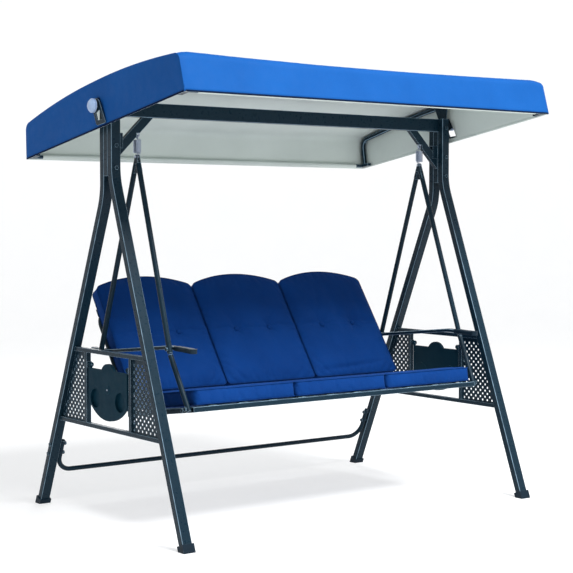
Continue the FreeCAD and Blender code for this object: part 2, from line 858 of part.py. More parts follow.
def make_decks():
    """Flat bars that carry the seat pads and the back pads."""
    seat_bars = slat_set("seat_slat", SEAT, spread(10, 630), -size("rail_width") / 2 + 2,
                         size("rear_rail_y") + 10, size("rail_height") / 2)
    keep(group("seat_bars", seat_bars), "seat_slats")
    tube = size("back_tube")
    level = -size("back_pad_thickness") - 0.5 - size("slat_thickness")
    rows = []
    for number, y in enumerate((20, 116, 212, 308, 404)):
        half = size("back_half_width") + tube / 2 - 2
        bar = slab(f"back_slat_{number}", V(-half, y - 18, level),
                   V(half, y + 18, level + size("slat_thickness")), BACK)
        bar.setExpression("Height", "Sizes.slat_thickness")
        bar.setExpression("Width", "Sizes.slat_width")
        rows.append(bar)
    keep(group("back_bars", rows), "back_slats")


BACK_TUBE_LEVEL = -(size("back_pad_thickness") + 0.5 + size("slat_thickness") + size("back_tube") / 2)


def make_back_frame():
    """A bent tube up both sides and across the top of the backrest."""
    bend = size("back_bend")
    start = in_frame(BACK, V(size("back_half_width"), size("back_foot"), BACK_TUBE_LEVEL))
    place = frame_at(start, X, BACK.Rotation.multVec(Y))
    rise = size("back_top") - size("back_foot") - bend
    width = 2 * (size("back_half_width") - bend)
    runs = [(rise, 90, bend), (width, 90, bend), (rise, 0, 0)]
    tube = bent_tube("back_tube_bent", place, runs, "Sizes.back_bend", round_section("back_tube"))
    keep(tube, "back_frame")


# -------------------------------------------------------------------- cushions

def soften(body, name, radius_by):
    """Round every edge of a padded cushion."""
    edges = [f"Edge{number}" for number in range(1, len(body.Shape.Edges) + 1)]
    base = body.Tip
    fillet = body.newObject("PartDesign::Fillet", name + "_round")
    fillet.Base = (base, edges)
    fillet.Radius = size("pad_edge_radius")
    fillet.setExpression("Radius", radius_by)
    body.Tip = fillet
    doc.recompute()


def pad_spans():
    """Left and right ends of the three cushions."""
    seam, outer, gap = size("pad_seam"), size("pad_half_width"), size("pad_gap")
    return {
        "left": (-outer, -seam - gap),
        "middle": (-seam + gap, seam - gap),
        "right": (seam + gap, outer),
    }


def make_seat_pad(name, low, high):
    """One seat cushion lying on the bars."""
    level = size("rail_height") / 2 + size("slat_thickness") + 0.3
    front = -8.0
    rear = front + size("seat_pad_depth")
    points = [V(low, front, 0), V(high, front, 0), V(high, rear, 0), V(low, rear, 0)]
    body = padded_outline(f"seat_pad_{name}", SEAT, points, size("seat_pad_thickness"),
                          "Sizes.seat_pad_thickness", level)
    soften(body, f"seat_pad_{name}", "Sizes.pad_edge_radius")
    keep(body, f"{name}_seat_cushion")


def make_back_pad(name, low, high):
    """One back cushion with an arched top."""
    side, crest = size("back_pad_side"), size("back_pad_crest")
    middle = (low + high) / 2
    points = [V(low, 0, 0), V(high, 0, 0), V(high, side, 0), (V(middle, crest, 0), V(low, side, 0))]
    body = padded_outline(f"back_pad_{name}", BACK, points, size("back_pad_thickness"),
                          "Sizes.back_pad_thickness", -size("back_pad_thickness"))
    soften(body, f"back_pad_{name}", "Sizes.pad_edge_radius")
    drills = []
    for number, x in enumerate((middle - size("button_offset"), middle + size("button_offset"))):
        centre = V(x, size("button_height"), 0)
        start = in_frame(BACK, centre + V(0, 0, -6))
        drills.append(rod(f"dimple_{name}_{number}", start, in_frame(BACK, centre + V(0, 0, 6)),
                          size("button_radius") + 1, "Sizes.button_radius + 1"))
    keep(cut(f"back_pad_{name}_dimpled", body, drills), f"{name}_back_cushion")


def make_cushions():
    """All six cushions and the buttons of the back ones."""
    buttons = []
    for name, (low, high) in pad_spans().items():
        make_seat_pad(name, low, high)
        make_back_pad(name, low, high)
        middle = (low + high) / 2
        for x in (middle - size("button_offset"), middle + size("button_offset")):
            start = in_frame(BACK, V(x, size("button_height"), -6))
            end = in_frame(BACK, V(x, size("button_height"), -1))
            buttons.append(rod(f"button_{len(buttons)}", start, end, size("button_radius"),
                               "Sizes.button_radius"))
    keep(group("buttons", buttons), "back_buttons")


# -------------------------------------------------------------------- armrests

ARM_REAR = V(0, 375, 657)
ARM_RUNS = [(120, -6.0), (430, 7.5), (140, 0)]


def make_armrest(side_name, side):
    """A flat tube, level behind the back frame and rising forward past the hanger."""
    start = V(side * size("arm_half_spacing"), ARM_REAR.y, ARM_REAR.z)
    along = V(0, -1, 0)
    place = frame_at(start, along.cross(X), along)
    runs = [(length, turn, size("arm_bend")) for length, turn in ARM_RUNS]
    section = box_section("arm_height", "arm_width", 5.0)
    tube = bent_tube(f"{side_name}_arm", place, runs, "Sizes.arm_bend", section)
    keep(tube, f"{side_name}_armrest")
    return tube


def arm_end(side, at_front):
    """Centre and outward direction of an armrest's end."""
    heading = 0.0
    here = V(side * size("arm_half_spacing"), ARM_REAR.y, ARM_REAR.z)
    if not at_front:
        return here, Y
    for length, turn in ARM_RUNS:
        here = here + V(0, -math.cos(heading), math.sin(heading)) * length
        chord = 2 * size("arm_bend") * math.sin(math.radians(abs(turn)) / 2)
        middle = heading - math.radians(turn) / 2
        here = here + V(0, -math.cos(middle), math.sin(middle)) * chord
        heading -= math.radians(turn)
    return here, V(0, -math.cos(heading), math.sin(heading))


def make_arm_caps():
    """Rounded plugs at the rear of the armrests, and sleeved grips at the front."""
    caps = []
    for side_name, side in SIDES.items():
        for at_front in (True, False):
            centre, out = arm_end(side, at_front)
            kind = "grip" if at_front else "arm"
            wide, tall = size(f"{kind}_width") / 2, size(f"{kind}_height")
            points = [V(-wide, 0, 0), V(wide, 0, 0), V(wide, 3, 0), (V(0, wide * 0.82, 0), V(-wide, 3, 0))]
            cap = padded_outline(f"arm_cap_{len(caps)}", frame_at(centre, X, out), points, tall,
                                 f"Sizes.{kind}_height", 0.0, True)
            if at_front:
                inner_end = centre - out * size("grip_length")
                sleeve = straight_tube(f"grip_{side_name}", inner_end, centre + out, X,
                                       box_section("grip_width", "grip_height", 6.4))
                cap = joined(f"grip_whole_{side_name}", [sleeve, cap])
            caps.append(cap)
    keep(group("arm_caps", caps), "armrest_end_caps")


def make_arm_posts():
    """The short tubes from the seat's front corners up to the hangers."""
    posts = []
    for name, side in SIDES.items():
        top = hanger_point(side, FRONT, size("hanger_foot_z")) + V(0, -2, -6)
        foot = V(side * (size("seat_half_width") + size("post_tube") / 2 + 1), -362, 476)
        posts.append(straight_tube(f"arm_post_{name}", foot, top, X, round_section("post_tube")))
    keep(group("arm_post_set", posts), "arm_posts")


def make_seat_bolts():
    """Bolts that join armrests to hangers, and posts and back frame to the rails."""
    bolts = []
    for side in SIDES.values():
        for end in (FRONT, REAR):
            spot = hanger_point(side, end, 702 if end == FRONT else 658)
            face = spot + V(side * (size("hanger_tube") / 2 + 0.3), 0, 0)
            number = len(bolts)
            head = hex_prism(f"arm_bolt_{number}", face, V(side, 0, 0), size("bolt_head"),
                             HEAD_HEIGHT)
            bolts.append(head)
        outer = side * (size("seat_half_width") + size("post_tube") + 2.5)
        post = hex_prism(f"post_bolt_{side + 1}", V(outer, -357, 486), V(side, 0, 0),
                         size("bolt_head"), HEAD_HEIGHT)
        bolts.append(post)
        rail = in_frame(SEAT, V(side * size("seat_half_width"), 66, 0))
        bolts.append(hex_prism(f"rail_bolt_{side + 1}", rail, V(side, 0, 0), size("bolt_head"),
                               HEAD_HEIGHT))
    keep(group("seat_bolt_set", bolts), "seat_bolts")


# --------------------------------------------------- tray frames and panels

def mirror_y_outline(points):
    """The same outline seen from the other side, wound the same way."""
    return [V(-point.x, point.y, 0) for point in reversed(points)]


def side_place(side):
    """Local X to the rear or front, local Y up, local Z out of the side."""
    return frame_at(V(side * HALF, 0, 0), Y * side, Z)


def bar_outline(centre_z, side):
    """Outline of a bar whose ends follow the slanted legs."""
    half = size("tray_bar_height") / 2
    low, high = centre_z - half, centre_z + half
    points = [V(leg_inner(FRONT, low), low, 0), V(leg_inner(REAR, low), low, 0),
              V(leg_inner(REAR, high), high, 0), V(leg_inner(FRONT, high), high, 0)]
    return points if side == RIGHT else mirror_y_outline(points)


def upright_span(end):
    """Inner and outer Y of an upright beside the tray."""
    inner = size("tray_centre_y") + end * size("upright_inner")
    return inner, inner + end * size("tray_bar_height")


def make_tray_frame(side_name, side):
    """Two bars between the legs and two uprights between the bars."""
    place = side_place(side)
    solids = []
    for name, z in (("top", size("tray_top_z")), ("low", size("tray_low_z"))):
        solids.append(padded_outline(f"{side_name}_{name}_bar", place, bar_outline(z, side),
                                     size("tray_bar_width"), "Sizes.tray_bar_width", 0.0, True))
    half_x = size("tray_bar_width") / 2
    half_z = size("tray_bar_height") / 2
    for end in (FRONT, REAR):
        low_y, high_y = sorted(upright_span(end))
        low = V(side * HALF - half_x, low_y, size("tray_low_z") + half_z)
        high = V(side * HALF + half_x, high_y, size("tray_top_z") - half_z)
        solids.append(slab(f"{side_name}_upright_{end + 1}", low, high))
    keep(group(f"{side_name}_tray_bars", solids), f"{side_name}_tray_frame")


def panel_holes(end, low_z, high_z, near, margin):
    """Staggered hole centres that keep clear of the panel's edges."""
    centres = []
    row = 0
    z = low_z + margin
    while z < high_z - margin:
        shift = size("panel_column") / 2 if row % 2 else 0.0
        y = abs(near) + margin + shift
        limit = abs(leg_inner(end, z)) - margin
        while y < limit:
            centres.append(V(math.copysign(y, near), z, 0))
            y += size("panel_column")
        z += size("panel_row")
        row += 1
    return centres


def make_panel(end, side, label):
    """A perforated sheet between an upright and the leg beside it."""
    half = size("tray_bar_height") / 2
    low, high = size("tray_low_z") + half, size("tray_top_z") - half
    near = upright_span(end)[1]
    points = [V(near, low, 0), V(leg_inner(end, low), low, 0),
              V(leg_inner(end, high), high, 0), V(near, high, 0)]
    if end == FRONT:
        points.reverse()
    centres = panel_holes(end, low, high, near, 11.0)
    if side == LEFT:
        points = mirror_y_outline(points)
        centres = [V(-centre.x, centre.y, 0) for centre in centres]
    body = new_body(label + "_sheet", side_place(side))
    sketch = new_sketch(body, label + "_outline")
    add_outline(sketch, points)
    for centre in centres:
        sketch.addGeometry(Part.Circle(centre, Z, size("panel_hole") / 2), False)
    pad = body.newObject("PartDesign::Pad", label + "_pad")
    pad.Profile = sketch
    pad.Length = size("panel_thickness")
    pad.Midplane = True
    pad.setExpression("Length", "Sizes.panel_thickness")
    doc.recompute()
    keep(body, label)


EAR_RADIUS = 10.0
EAR_WIDTH = 9.0
PIN_RADIUS = 4.0
BRACKET_GAP = 1.0


def make_hinge_brackets():
    """Brackets on the uprights, each with the pin that its tray turns on."""
    brackets = []
    for side in SIDES.values():
        for end in (FRONT, REAR):
            face = upright_span(end)[0]
            edge = size("tray_centre_y") + end * (size("tray_half_width") + BRACKET_GAP)
            number = len(brackets)
            low_y, high_y = sorted((face, edge + end * 8))
            axis_z = size("tray_axis_z")
            block = slab(f"hinge_block_{number}", V(side * HALF - 10, low_y, axis_z - 12),
                         V(side * HALF + 10, high_y, axis_z + 12))
            start = V(side * HALF, edge + end * 9, axis_z)
            finish = V(side * HALF, edge - end * (EAR_WIDTH + 3), axis_z)
            pin = rod(f"hinge_pin_{number}", start, finish, PIN_RADIUS, "Sizes.bolt_diameter / 2")
            brackets.append(joined(f"hinge_{number}", [block, pin]))
    keep(group("hinge_brackets", brackets), "tray_hinge_brackets")


def tray_outline():
    """Flat top with a raised grip, straight sides and an arc below (centred)."""
    half = size("tray_half_width")
    top, flank, foot = size("tray_edge_z"), size("tray_side_z"), size("tray_arc_z")
    grip_half, grip_rise = 47.0, 26.0
    return [V(-half, top, 0), V(-half, flank, 0), (V(0, foot, 0), V(half, flank, 0)),
            V(half, top, 0), V(grip_half, top, 0),
            (V(0, top + grip_rise, 0), V(-grip_half, top, 0))]


def tray_piece(body, name, kind, radius, centres, offset, length):
    """Round pads or pockets on the tray, all of one radius."""
    sketch = new_sketch(body, name + "_rings", "XY_Plane", offset)
    for x, z in centres:
        sketch.addGeometry(Part.Circle(V(x, z, 0), Z, radius), False)
    feature = body.newObject(f"PartDesign::{kind}", name)
    feature.Profile = sketch
    feature.Length = length
    doc.recompute()
    return feature


def make_tray(side_name, side):
    """A moulded tray with two cup wells, hanging from the hinge pins."""
    centre = V(side * HALF, size("tray_centre_y"), 0)
    place = frame_at(centre, Y * side, Z)
    inner, thick = -3.0, size("tray_thickness")
    body = padded_outline(f"{side_name}_tray_plate", place, tray_outline(), thick,
                          "Sizes.tray_thickness", inner)
    cups = [(-size("cup_offset"), size("cup_z")), (size("cup_offset"), size("cup_z"))]
    wall = 2.5
    wells = tray_piece(body, f"{side_name}_wells", "Pad", size("cup_radius") + wall, cups, inner + 1, 1)
    wells.Reversed = True
    wells.Length = size("cup_depth") + wall - thick + 1
    doc.recompute()
    solid = body.Shape.Volume
    hollow = tray_piece(body, f"{side_name}_cups", "Pocket", size("cup_radius"), cups,
                        inner + thick, size("cup_depth"))
    hollow.setExpression("Length", "Sizes.cup_depth")
    doc.recompute()
    if body.Shape.Volume >= solid:
        raise RuntimeError("the cup pockets cut nothing")
    boss = tray_piece(body, f"{side_name}_boss", "Pad", 17.0, [(0, size("cup_z") + 40)],
                      inner + thick - 1, 2.2)
    body.Tip = boss
    doc.recompute()
    ears, drills = [], []
    for end in (LEFT, RIGHT):
        outer = centre + V(0, end * size("tray_half_width"), size("tray_axis_z"))
        inner_end = outer - V(0, end * EAR_WIDTH, 0)
        disc = rod(f"{side_name}_ear_{end + 1}", inner_end, outer, EAR_RADIUS, "Sizes.bolt_diameter + 2")
        neck = slab(f"{side_name}_neck_{end + 1}",
                    V(side * HALF - 3, min(inner_end.y, outer.y), size("tray_edge_z") - 6),
                    V(side * HALF + 3, max(inner_end.y, outer.y), size("tray_axis_z")))
        ears += [disc, neck]
        drills.append(rod(f"{side_name}_bore_{end + 1}", inner_end - V(0, end * 5, 0),
                          outer + V(0, end, 0), PIN_RADIUS + 0.1, "Sizes.bolt_diameter / 2 + 0.1"))
    whole = joined(f"{side_name}_tray_whole", [body] + ears)
    keep(cut(f"{side_name}_tray_bored", whole, drills), f"{side_name}_tray")


def make_side_furniture():
    """Tray frames, perforated panels, hinge brackets and trays."""
    for name, side in SIDES.items():
        make_tray_frame(name, side)
        make_panel(FRONT, side, f"front_{name}_panel")
        make_panel(REAR, side, f"rear_{name}_panel")
        make_tray(name, side)
    make_hinge_brackets()


# ------------------------------------------------------------------ stabiliser

def make_stabiliser():
    """A long bent tube low between the rear legs, and its bolts."""
    down = leg_up(REAR) * -1
    top_z, low_z = size("stabiliser_end_z"), size("stabiliser_low_z")
    bend = size("stabiliser_bend")
    x = size("stabiliser_x")
    drop = (top_z - low_z) / abs(down.z) - bend
    start = V(-x, leg_centre(REAR, top_z), top_z)
    place = frame_at(start, X * -1, down)
    runs = [(drop, 90, bend), (2 * (x - bend), 90, bend), (drop, 0, 0)]
    tube = bent_tube("stabiliser_tube_bent", place, runs, "Sizes.stabiliser_bend",
                     round_section("stabiliser_tube"))
    axes = stabiliser_bolts(LEFT) + stabiliser_bolts(RIGHT)
    keep(cut("stabiliser_drilled", tube, holes_for("stabiliser", axes)), "stabiliser_bar")
    bolts = [bolt(f"leg_bolt_{number}", start, end) for number, (start, end) in enumerate(axes)]
    keep(group("leg_bolt_set", bolts), "stabiliser_bolts")


# ---------------------------------------------------------------------- canopy

CANOPY = tilted(V(0, 0, size("canopy_z")), -size("canopy_tilt"))
PIVOT_LOCAL = CANOPY.inverse().multVec(V(0, 0, size("tilt_pivot_z")))
YOKE = CANOPY.multiply(tilted(PIVOT_LOCAL, -20))
SLOT = [(-25, 22), (25, 22), (25, -60), (-25, -78)]


def roof_outline(inset):
    """Side outline of the cover in its own frame: local X to the rear, local Y up."""
    front, rear = size("canopy_front") + inset, size("canopy_rear") - inset
    hem, knee = size("canopy_hem"), size("canopy_knee")
    bow, shoulder = size("canopy_bow") - inset * 0.7, size("canopy_shoulder") - inset
    lean, turn, reach = 14.0, 23.0, 48.0
    low = hem if inset == 0 else hem - 20.0
    middle = (front + rear) / 2
    return [V(front, low, 0), V(rear, low, 0), V(rear - lean, knee, 0),
            (V(rear - turn, bow, 0), V(rear - reach, shoulder, 0)),
            (V(middle, size("canopy_roof") - inset, 0), V(front + reach, shoulder, 0)),
            (V(front + turn, bow, 0), V(front + lean, knee, 0))]


def make_cover():
    """The fabric cover: arched roof and four valances, open below, slots at the pivots."""
    place = CANOPY.multiply(frame_at(V(0, 0, 0), Y, Z))
    half = size("canopy_half_width")
    body = padded_outline("cover_block", place, roof_outline(0.0), 2 * half,
                          "2 * Sizes.canopy_half_width", 0.0, True)
    base, edges = body.Tip, roof_edges(body)
    edge = body.newObject("PartDesign::Fillet", "cover_edges")
    edge.Base = (base, edges)
    edge.Radius = 7.0
    body.Tip = edge
    doc.recompute()
    thin = size("fabric_thickness")
    hollow = padded_outline("cover_hollow", place, roof_outline(thin), 2 * (half - thin),
                            "2 * (Sizes.canopy_half_width - Sizes.fabric_thickness)", 0.0, True)
    slots = []
    for name, side in SIDES.items():
        place = YOKE.multiply(frame_at(V(side * half, 0, 0), Y, Z))
        points = [V(y, z, 0) for y, z in SLOT]
        slots.append(padded_outline(f"slot_{name}", place, points, 40, "40", 0.0, True))
    keep(cut("cover_open", body, [hollow] + slots), "canopy_cover")


def roof_edges(body):
    """Names of the cover's edges above the hem, all round the roof's two ends."""
    half = size("canopy_half_width")
    names = []
    for number, edge in enumerate(body.Shape.Edges, start=1):
        box = edge.BoundBox
        flat = box.XLength < 1 and abs(abs(box.XMin) - half) < 1
        level = CANOPY.inverse().multVec(edge.CenterOfMass)
        if flat and level.z > size("canopy_hem") + 5:
            names.append(f"Edge{number}")
    return names


ARM_REACH = 586.0
ARM_END_LEVEL = -50.0
ARM_CORNER = 42.0
ARM_ARCH = 4.5
ARM_CROWN_RADIUS = 3200.0


def make_canopy_arm(side_name, side):
    """A gently arched tube along the side, turned down at both ends."""
    x = side * size("canopy_arm_x")
    roof = size("canopy_arm_roof")
    start = CANOPY.multVec(V(x, ARM_REACH, ARM_END_LEVEL))
    up = CANOPY.Rotation.multVec(Z)
    rear = CANOPY.Rotation.multVec(Y)
    place = frame_at(start, rear, up)
    arch = math.radians(ARM_ARCH)
    arch_radius = ARM_CROWN_RADIUS
    corner = ARM_CORNER
    side_rise = math.radians(90 - ARM_ARCH)
    # vertical run, tight corner, straight slope, shallow crown, and the same again
    corner_reach = corner * (1 - math.cos(side_rise))
    crown_reach = arch_radius * math.sin(arch)
    slope_run = (ARM_REACH - corner_reach - crown_reach) / math.cos(arch)
    corner_rise = corner * math.sin(side_rise)
    crown_rise = arch_radius * (1 - math.cos(arch))
    upright = roof - ARM_END_LEVEL - corner_rise - slope_run * math.sin(arch) - crown_rise
    runs = [(upright, 90 - ARM_ARCH, corner), (slope_run, 2 * ARM_ARCH, arch_radius),
            (slope_run, 90 - ARM_ARCH, corner), (upright, 0, 0)]
    body = new_body(f"{side_name}_canopy_tube", place)
    path = new_sketch(body, f"{side_name}_canopy_path")
    add_free_path(path, runs)
    profile = new_sketch(body, f"{side_name}_canopy_profile", "XZ_Plane")
    round_section("arm_tube")(profile)
    sweep = body.newObject("PartDesign::AdditivePipe", f"{side_name}_canopy_sweep")
    sweep.Profile = (profile, [""])
    sweep.Spine = (path, [])
    doc.recompute()
    keep(body, f"{side_name}_canopy_arm")


def add_free_path(sketch, runs):
    """Runs and bends of several radii, without driven radii."""
    here = V(0, 0, 0)
    heading = math.pi / 2
    for length, turn, radius in runs:
        corner = here + V(math.cos(heading), math.sin(heading), 0) * length
        sketch.addGeometry(Part.LineSegment(here, corner), False)
        here = corner
        if not turn:
            continue
        centre = here + V(-math.sin(heading), math.cos(heading), 0) * radius
        spots = []
        for share in (0.5, 1.0):
            angle = heading + math.radians(turn) * share
            spots.append(centre - V(-math.sin(angle), math.cos(angle), 0) * radius)
        sketch.addGeometry(Part.Arc(here, spots[0], spots[1]), False)
        here = spots[1]
        heading += math.radians(turn)


def make_hem_bars():
    """Bars along the front and rear hems, and the brackets at the four corners."""
    x_arm = size("canopy_arm_x")
    tube = size("hem_bar_tube")
    level = size("canopy_hem") + tube / 2 + 1
    middle = (size("canopy_front") + size("canopy_rear")) / 2
    brackets = []
    for end, name in ((FRONT, "front"), (REAR, "rear")):
        y = middle + end * (ARM_REACH + 15)
        reach = x_arm - size("arm_tube") / 2 - 3
        start, finish = V(-reach, y, level), V(reach, y, level)
        bar = frame_tube(f"{name}_hem_tube", CANOPY, start, finish, Y, round_section("hem_bar_tube"))
        keep(bar, f"canopy_{name}_bar")
        for side in SIDES.values():
            low_x, high_x = sorted((side * (reach + 0.5), side * (x_arm + 9)))
            inner_y, outer_y = sorted((end * (ARM_REACH - 34), y + end * 5))
            block = slab(f"corner_{len(brackets)}", V(low_x, inner_y, ARM_END_LEVEL - 14),
                         V(high_x, outer_y, ARM_END_LEVEL - 1), CANOPY)
            brackets.append(block)
    keep(group("corners", brackets), "canopy_corner_brackets")


PLATE_IN = 873.0
PLATE_THICKNESS = 3.6


def make_pivot_plates():
    """Drop plates from the side arms down to the tilt studs."""
    plates = []
    top = size("canopy_arm_roof") + 4
    for name, side in SIDES.items():
        centre_y, centre_z = PIVOT_LOCAL.y, PIVOT_LOCAL.z
        points = [V(centre_y - 18, centre_z, 0),
                  (V(centre_y, centre_z - 18, 0), V(centre_y + 18, centre_z, 0)),
                  V(centre_y + 45, top, 0), V(centre_y - 45, top, 0)]
        start_x = PLATE_IN if side == RIGHT else -PLATE_IN - PLATE_THICKNESS
        place = CANOPY.multiply(frame_at(V(start_x, 0, 0), Y, Z))
        plate = padded_outline(f"plate_{name}", place, points, PLATE_THICKNESS, f"{PLATE_THICKNESS}")
        bore = tilt_bore(f"plate_{name}")
        plates.append(cut(f"plate_{name}_bored", plate, [bore]))
    keep(group("plates", plates), "canopy_pivot_plates")


def tilt_bore(name):
    """A drill for the tilt studs, right across the swing."""
    reach = size("canopy_half_width") + 60
    return rod(name + "_bore", V(-reach, 0, size("tilt_pivot_z")), V(reach, 0, size("tilt_pivot_z")),
               size("stud_diameter") / 2 + size("running_gap"),
               "Sizes.stud_diameter / 2 + Sizes.running_gap")


YOKE_X = 908.0
YOKE_THICKNESS = 3.0


def make_yokes():
    """Stirrup-shaped plates outside the cover, round each tilt slot."""
    yokes = []
    for name, side in SIDES.items():
        outer = [V(-29, 0, 0), (V(0, 29, 0), V(29, 0, 0)), V(32, -64, 0), V(26, -71, 0),
                 V(-28, -93, 0), V(-33, -88, 0)]
        inner = [V(-17, -27, 0), V(18, -24, 0), V(18, -54, 0), V(-19, -71, 0)]
        start_x = YOKE_X if side == RIGHT else -YOKE_X - YOKE_THICKNESS
        place = YOKE.multiply(frame_at(V(start_x, 0, 0), Y, Z))
        plate = padded_outline(f"yoke_{name}", place, outer, YOKE_THICKNESS, f"{YOKE_THICKNESS}")
        window = padded_outline(f"yoke_window_{name}", place, inner, YOKE_THICKNESS + 2,
                                f"{YOKE_THICKNESS + 2}", -1.0)
        yokes.append(cut(f"yoke_{name}_open", plate, [window, tilt_bore(f"yoke_{name}")]))
    keep(group("yokes", yokes), "canopy_yokes")


KNOB_IN = 913.0


def make_studs():
    """Threaded studs out of the beam's ends, with the spacers inside the yokes."""
    studs = []
    for name, side in SIDES.items():
        start = V(side * (size("beam_half_length") - size("plug_length")), 0, size("tilt_pivot_z"))
        finish = V(side * (KNOB_IN + size("knob_length") - 6), 0, size("tilt_pivot_z"))
        studs.append(rod(f"stud_{name}", start, finish, size("stud_diameter") / 2,
                         "Sizes.stud_diameter / 2"))
    keep(group("studs", studs), "canopy_studs")


def make_spacers():
    """Sleeves on the tilt studs that hold plate and yoke apart."""
    sleeves = []
    for name, side in SIDES.items():
        start = V(side * (PLATE_IN + PLATE_THICKNESS + 0.2), 0, size("tilt_pivot_z"))
        finish = V(side * (YOKE_X - 0.2), 0, size("tilt_pivot_z"))
        sleeve = rod(f"sleeve_{name}", start, finish, 9.0, "Sizes.stud_diameter - 1")
        sleeves.append(cut(f"sleeve_{name}_bored", sleeve, [tilt_bore(f"sleeve_{name}")]))
    keep(group("sleeves", sleeves), "pivot_sleeves")


def make_knob(side_name, side):
    """A round clamping knob with a domed face and a turned grip."""
    length, radius = size("knob_length"), size("knob_radius")
    place = frame_at(V(side * KNOB_IN, 0, size("tilt_pivot_z")), Y * side, Z)
    body = new_body(f"{side_name}_knob_body", place)
    sketch = new_sketch(body, f"{side_name}_knob_half", "XZ_Plane")
    rise = 14.0
    dome = (radius ** 2 + rise ** 2) / (2 * rise)
    sag = dome - math.sqrt(dome ** 2 - (radius / 2) ** 2)
    points = [V(0, 0, 0), V(radius * 0.55, 0, 0), V(radius * 0.55, 4, 0), V(radius, 7, 0),
              V(radius, length - rise, 0), (V(radius / 2, length - sag, 0), V(0, length, 0))]
    add_outline(sketch, points)
    turn = body.newObject("PartDesign::Revolution", f"{side_name}_knob_turn")
    turn.Profile = sketch
    turn.ReferenceAxis = (sketch, ["V_Axis"])
    turn.Angle = 360.0
    doc.recompute()
    bore = rod(f"{side_name}_knob_thread", V(side * (KNOB_IN - 1), 0, size("tilt_pivot_z")),
               V(side * (KNOB_IN + length - 5), 0, size("tilt_pivot_z")),
               size("stud_diameter") / 2 + size("running_gap"),
               "Sizes.stud_diameter / 2 + Sizes.running_gap")
    keep(cut(f"{side_name}_knob_bored", body, [bore]), f"{side_name}_knob")


def make_canopy():
    """Everything that tilts, and the knobs that clamp it."""
    for name, side in SIDES.items():
        make_canopy_arm(name, side)
    make_hem_bars()
    make_pivot_plates()
    make_yokes()
    make_spacers()
    make_studs()
    for name, side in SIDES.items():
        make_knob(name, side)
    make_cover()


# --------------------------------------------------------------------- export

def check_document():
    """Stop if any object failed to build."""
    for item in doc.Objects:
        bad = [word for word in item.State if word in ("Invalid", "Error")]
        if bad:
            raise RuntimeError(f"{item.Name} is {bad}")


def write_parts():
    """Write every sub-part to its own file."""
    os.makedirs("parts", exist_ok=True)
    for item in parts:
        shape = item.Shape
        if shape.isNull() or not shape.isValid():
            raise RuntimeError(f"{item.Label} has no valid shape")
        shape.exportStep(os.path.join("parts", item.Label + ".step"))
    print(f"{len(parts)} sub-parts written")


make_legs_and_feet()
make_beam()
make_posts()
make_braces()
make_springs()
make_hangers()
make_rails()
make_decks()
make_back_frame()
make_cushions()
for SIDE_NAME, SIDE in SIDES.items():
    make_armrest(SIDE_NAME, SIDE)
make_arm_caps()
make_arm_posts()
make_seat_bolts()
make_side_furniture()
make_stabiliser()
make_canopy()
doc.recompute()
check_document()
write_parts()
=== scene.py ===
import json
import math

import bmesh
import bpy
import numpy as np
from mathutils import Matrix, Vector, noise


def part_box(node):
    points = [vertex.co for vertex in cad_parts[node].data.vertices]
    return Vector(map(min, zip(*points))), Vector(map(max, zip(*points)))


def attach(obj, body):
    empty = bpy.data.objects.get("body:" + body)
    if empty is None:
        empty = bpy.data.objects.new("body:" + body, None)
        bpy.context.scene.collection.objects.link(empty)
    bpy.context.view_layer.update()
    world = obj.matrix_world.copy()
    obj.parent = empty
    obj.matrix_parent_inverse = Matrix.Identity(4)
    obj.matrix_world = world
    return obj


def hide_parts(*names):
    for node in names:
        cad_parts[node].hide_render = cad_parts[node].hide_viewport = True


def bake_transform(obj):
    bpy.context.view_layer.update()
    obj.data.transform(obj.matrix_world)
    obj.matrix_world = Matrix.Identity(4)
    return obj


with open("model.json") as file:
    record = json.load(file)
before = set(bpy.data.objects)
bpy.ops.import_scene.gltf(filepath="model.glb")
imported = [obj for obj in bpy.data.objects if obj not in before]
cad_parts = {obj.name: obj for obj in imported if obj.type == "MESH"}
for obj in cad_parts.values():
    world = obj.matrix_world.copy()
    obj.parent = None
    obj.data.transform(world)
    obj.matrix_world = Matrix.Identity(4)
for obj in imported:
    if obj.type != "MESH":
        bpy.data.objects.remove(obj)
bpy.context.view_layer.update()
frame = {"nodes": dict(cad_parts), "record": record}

# ------------------------------------------------------------------ frames
# Lengths are in metres. The three tilted frames are those in which the cushions and the cover lie flat.


def tilted(origin, degrees):
    """A frame at a place, turned about X."""
    return Matrix.Translation(Vector(origin)) @ Matrix.Rotation(math.radians(degrees), 4, "X")


SEAT = tilted((0, -0.366, 0.482), -8.2)
BACK = tilted((0, 0.100, 0.506), 55.0)
CANOPY = tilted((0, 0, 1.600), -9.05)


def local_box(node, place):
    """Lowest and highest corner of a CAD node in a tilted frame."""
    inverse = place.inverted()
    points = np.array([inverse @ vertex.co for vertex in frame["nodes"][node].data.vertices])
    return Vector(points.min(0)), Vector(points.max(0))


# --------------------------------------------------------------- materials


